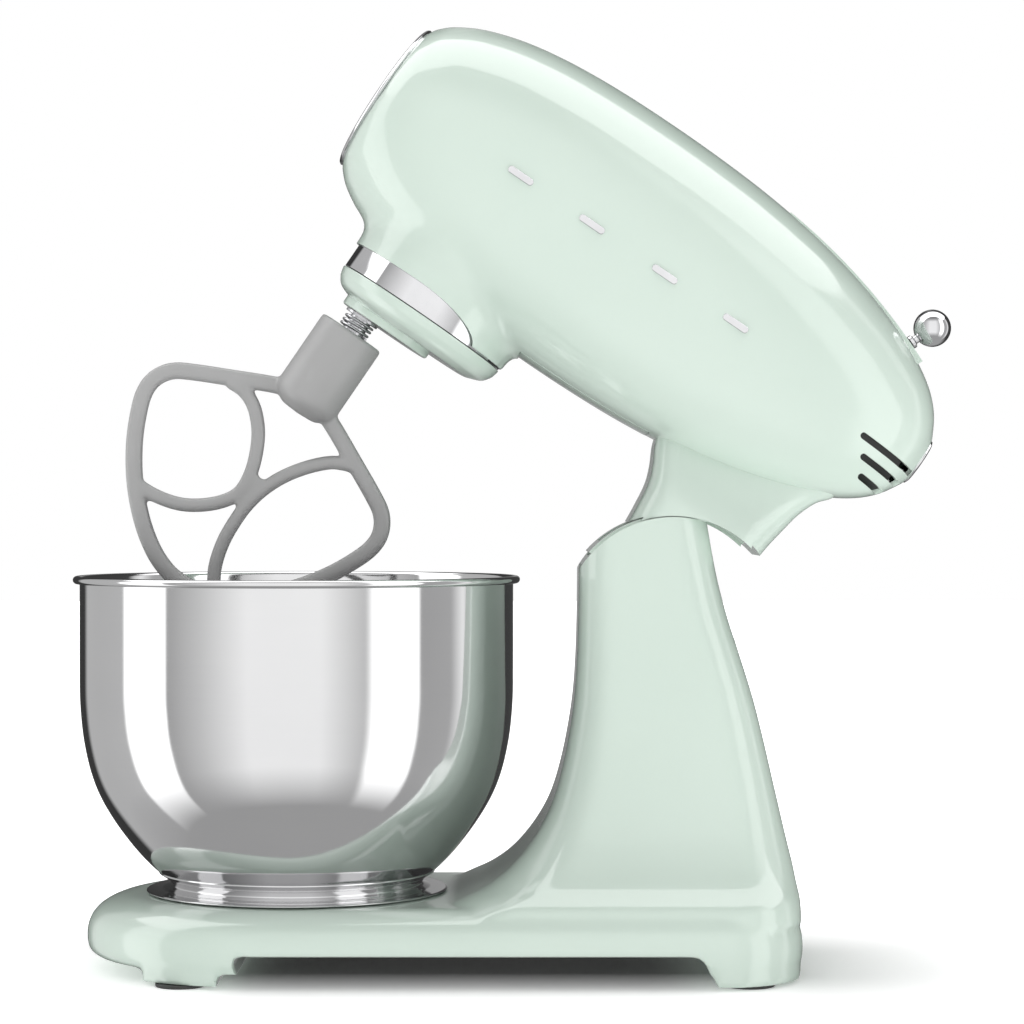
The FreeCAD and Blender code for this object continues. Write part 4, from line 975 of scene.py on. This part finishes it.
def coil(radius, wire, low, high, turns, centreX=0.0):
    # helical spring, its end turns lying closer together
    def surface(share, turn):
        angle = math.tau * turns * share
        level = low + wire + (high - low - 2 * wire) * (share - 0.045 * math.sin(math.tau * share))
        level += wire * math.sin(math.tau * turn)
        reach = radius + wire * math.cos(math.tau * turn)
        return (centreX + reach * math.cos(angle), reach * math.sin(angle), level)
    return skin(int(turns * 48), 14, surface)


def makeSprings():
    spring = coil(7.4, 0.68, beater["hubTop"] + 0.1, 207.3, 3.4, beater["x"])
    addPiece("shaftCoil", spring, ["shaft_spring"], sharp=60)
    low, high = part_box("button_spring")
    axis = -Vector(joints["button_press"]["axis"]).normalized()
    middle = (low + high) / 2 * 1000
    middle.x -= bowlX * 1000
    push = coil(5.0, 0.45, -3.9, 3.9, 5.0)
    turn = Matrix.Translation(middle) @ axis.to_track_quat("Z", "Y").to_matrix().to_4x4()
    bmesh.ops.transform(push, matrix=turn, verts=push.verts)
    addPiece("buttonCoil", push, ["button_spring"], tilted=False, sharp=60)


# carried-over nodes, floor

def dressNodes():
    replaced = {node for piece in bpy.data.objects for node in piece.get("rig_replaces", [])}
    for name, node in frame["nodes"].items():
        if name in replaced:
            continue
        if not node.material_slots:
            node.data.materials.append(None)
        for place in node.material_slots:
            place.material = finishes[slotOf[name]]
    print("nodes dressed:", len(frame["nodes"]) - len(replaced))


def makeFloor():
    finish = Finish("paleFloor")
    # the floor carries a painted glow away from the mixer, so that it stays white into the distance and
    # lights the mixer's lower parts from below; the glow fades to none at the mixer's footprint, so the
    # shadow shows only there
    mottle = finish.ramp(finish.noise(finish.place(), 0.6, 2), 0.3, 0.7)
    shade = finish.blend(mottle, colour(0.90, 0.90, 0.90), colour(0.915, 0.915, 0.915))
    away = finish.node("ShaderNodeVectorMath", {"operation": "ABSOLUTE"}, {0: finish.place()})
    away = finish.node("ShaderNodeVectorMath", {"operation": "SUBTRACT"}, {0: away, 1: (0.13, 0.03, 1.0)})
    away = finish.node("ShaderNodeVectorMath", {"operation": "MAXIMUM"}, {0: away, 1: (0.0, 0.0, 0.0)})
    reach = finish.node("ShaderNodeVectorMath", {"operation": "LENGTH"}, {0: away}, output="Value")
    # painted glow: emission rising from none at the mixer's footprint to 0.85 at 0.16 m out
    glow = finish.blend(finish.ramp(reach, 0.0, 0.16), colour(0, 0, 0), colour(0.85, 0.85, 0.85))
    material = finish.surface(Base_Color=shade, Roughness=0.7 + mottle * 0.05, Emission_Color=glow,
                              Emission_Strength=1.0)
    bm = bmesh.new()
    bmesh.ops.create_grid(bm, x_segments=2, y_segments=2, size=6)
    mesh = bpy.data.meshes.new("floor")
    bm.to_mesh(mesh)
    bm.free()
    mesh.materials.append(material)
    floor = bpy.data.objects.new("floor", mesh)
    bpy.context.scene.collection.objects.link(floor)
    floor.visible_glossy = False     # polished metal shows the studio instead of the floor's glow


# brightness of the studio walls, in degrees from the front: straight behind, the left side, the
# front, the right side and behind again. The narrow bright bands are strip lights.
studio = {
    "round": [(-180, 0.35), (-172, 0.05), (-147, 0.05), (-141, 0.62), (-99, 0.72), (-98, 2.2), (-69, 2.2),
              (-68, 0.55), (-48, 0.85), (-22, 1.35), (16, 1.35), (40, 0.80), (45, 2.2), (70, 2.2), (71, 0.55),
              (92, 0.60), (101, 1.3), (106, 0.9), (111, 0.08), (154, 0.06), (172, 0.06), (180, 0.35)],
    "ceiling": 0.40, "softbox": 3.2, "below": 0.5,
    "fill": 0.52,      # how much of it lights matt surfaces
}


def makeWorld():
    world = bpy.data.worlds.new("studio")
    world.use_nodes = True
    sky = Finish("studio", world)
    where = sky.node("ShaderNodeTexCoord", output="Generated")
    east, north, up = (sky.node("ShaderNodeSeparateXYZ", {}, {0: where}, output=axis) for axis in "XYZ")
    turn = east.math("ARCTAN2", east, 0.0 - north) * (0.5 / math.pi) + 0.5
    full = studio["softbox"]
    stops = [((angle + 180) / 360, bright / full) for angle, bright in studio["round"]]
    walls = sky.node("ShaderNodeValToRGB", {"stops": stops}, {"Fac": turn})
    ceiling = studio["ceiling"] / full
    below = studio["below"] / full
    softbox = sky.ramp(up, 0.60, 0.62) * sky.ramp(north, -0.29, -0.26) * sky.ramp(north, 0.47, 0.43)
    dome = sky.blend(sky.ramp(up, 0.62, 0.85), walls, colour(ceiling, ceiling, ceiling))
    dome = sky.blend(softbox, dome, colour(1, 1, 1))
    dome = sky.blend(sky.ramp(up, -0.46, -0.78), dome, colour(below, below, below))
    # matt surfaces are lit by the walls alone
    matt = sky.node("ShaderNodeLightPath", output="Is Diffuse Ray")
    dome = sky.blend(matt, dome, walls)
    strength = full * (1.0 - matt * (1.0 - studio["fill"]))
    lit = sky.node("ShaderNodeBackground", {}, {"Color": dome, "Strength": strength})
    white = sky.node("ShaderNodeBackground", {}, {"Color": colour(1, 1, 1), "Strength": 1.0})
    seen = sky.node("ShaderNodeLightPath", output="Is Camera Ray")
    mixed = sky.node("ShaderNodeMixShader", {}, {0: seen, 1: lit, 2: white})
    sky.node("ShaderNodeOutputWorld", {}, {"Surface": mixed}, output=None)
    bpy.context.scene.world = world
    print("studio made")


makeCamera()
makeLights()
makeWorld()
finishes = makeFinishes()
makeBowl()
makeBowlFoot()
makeHead()
makeFrontCover()
makeUndersideCover()
makeRearCap()
makeStuds()
makeBand()
makeDisc()
makeKnob()
makeNeck()
makeBase()
makeGland()
makeBeater()
makeSprings()
dressNodes()
makeFloor()
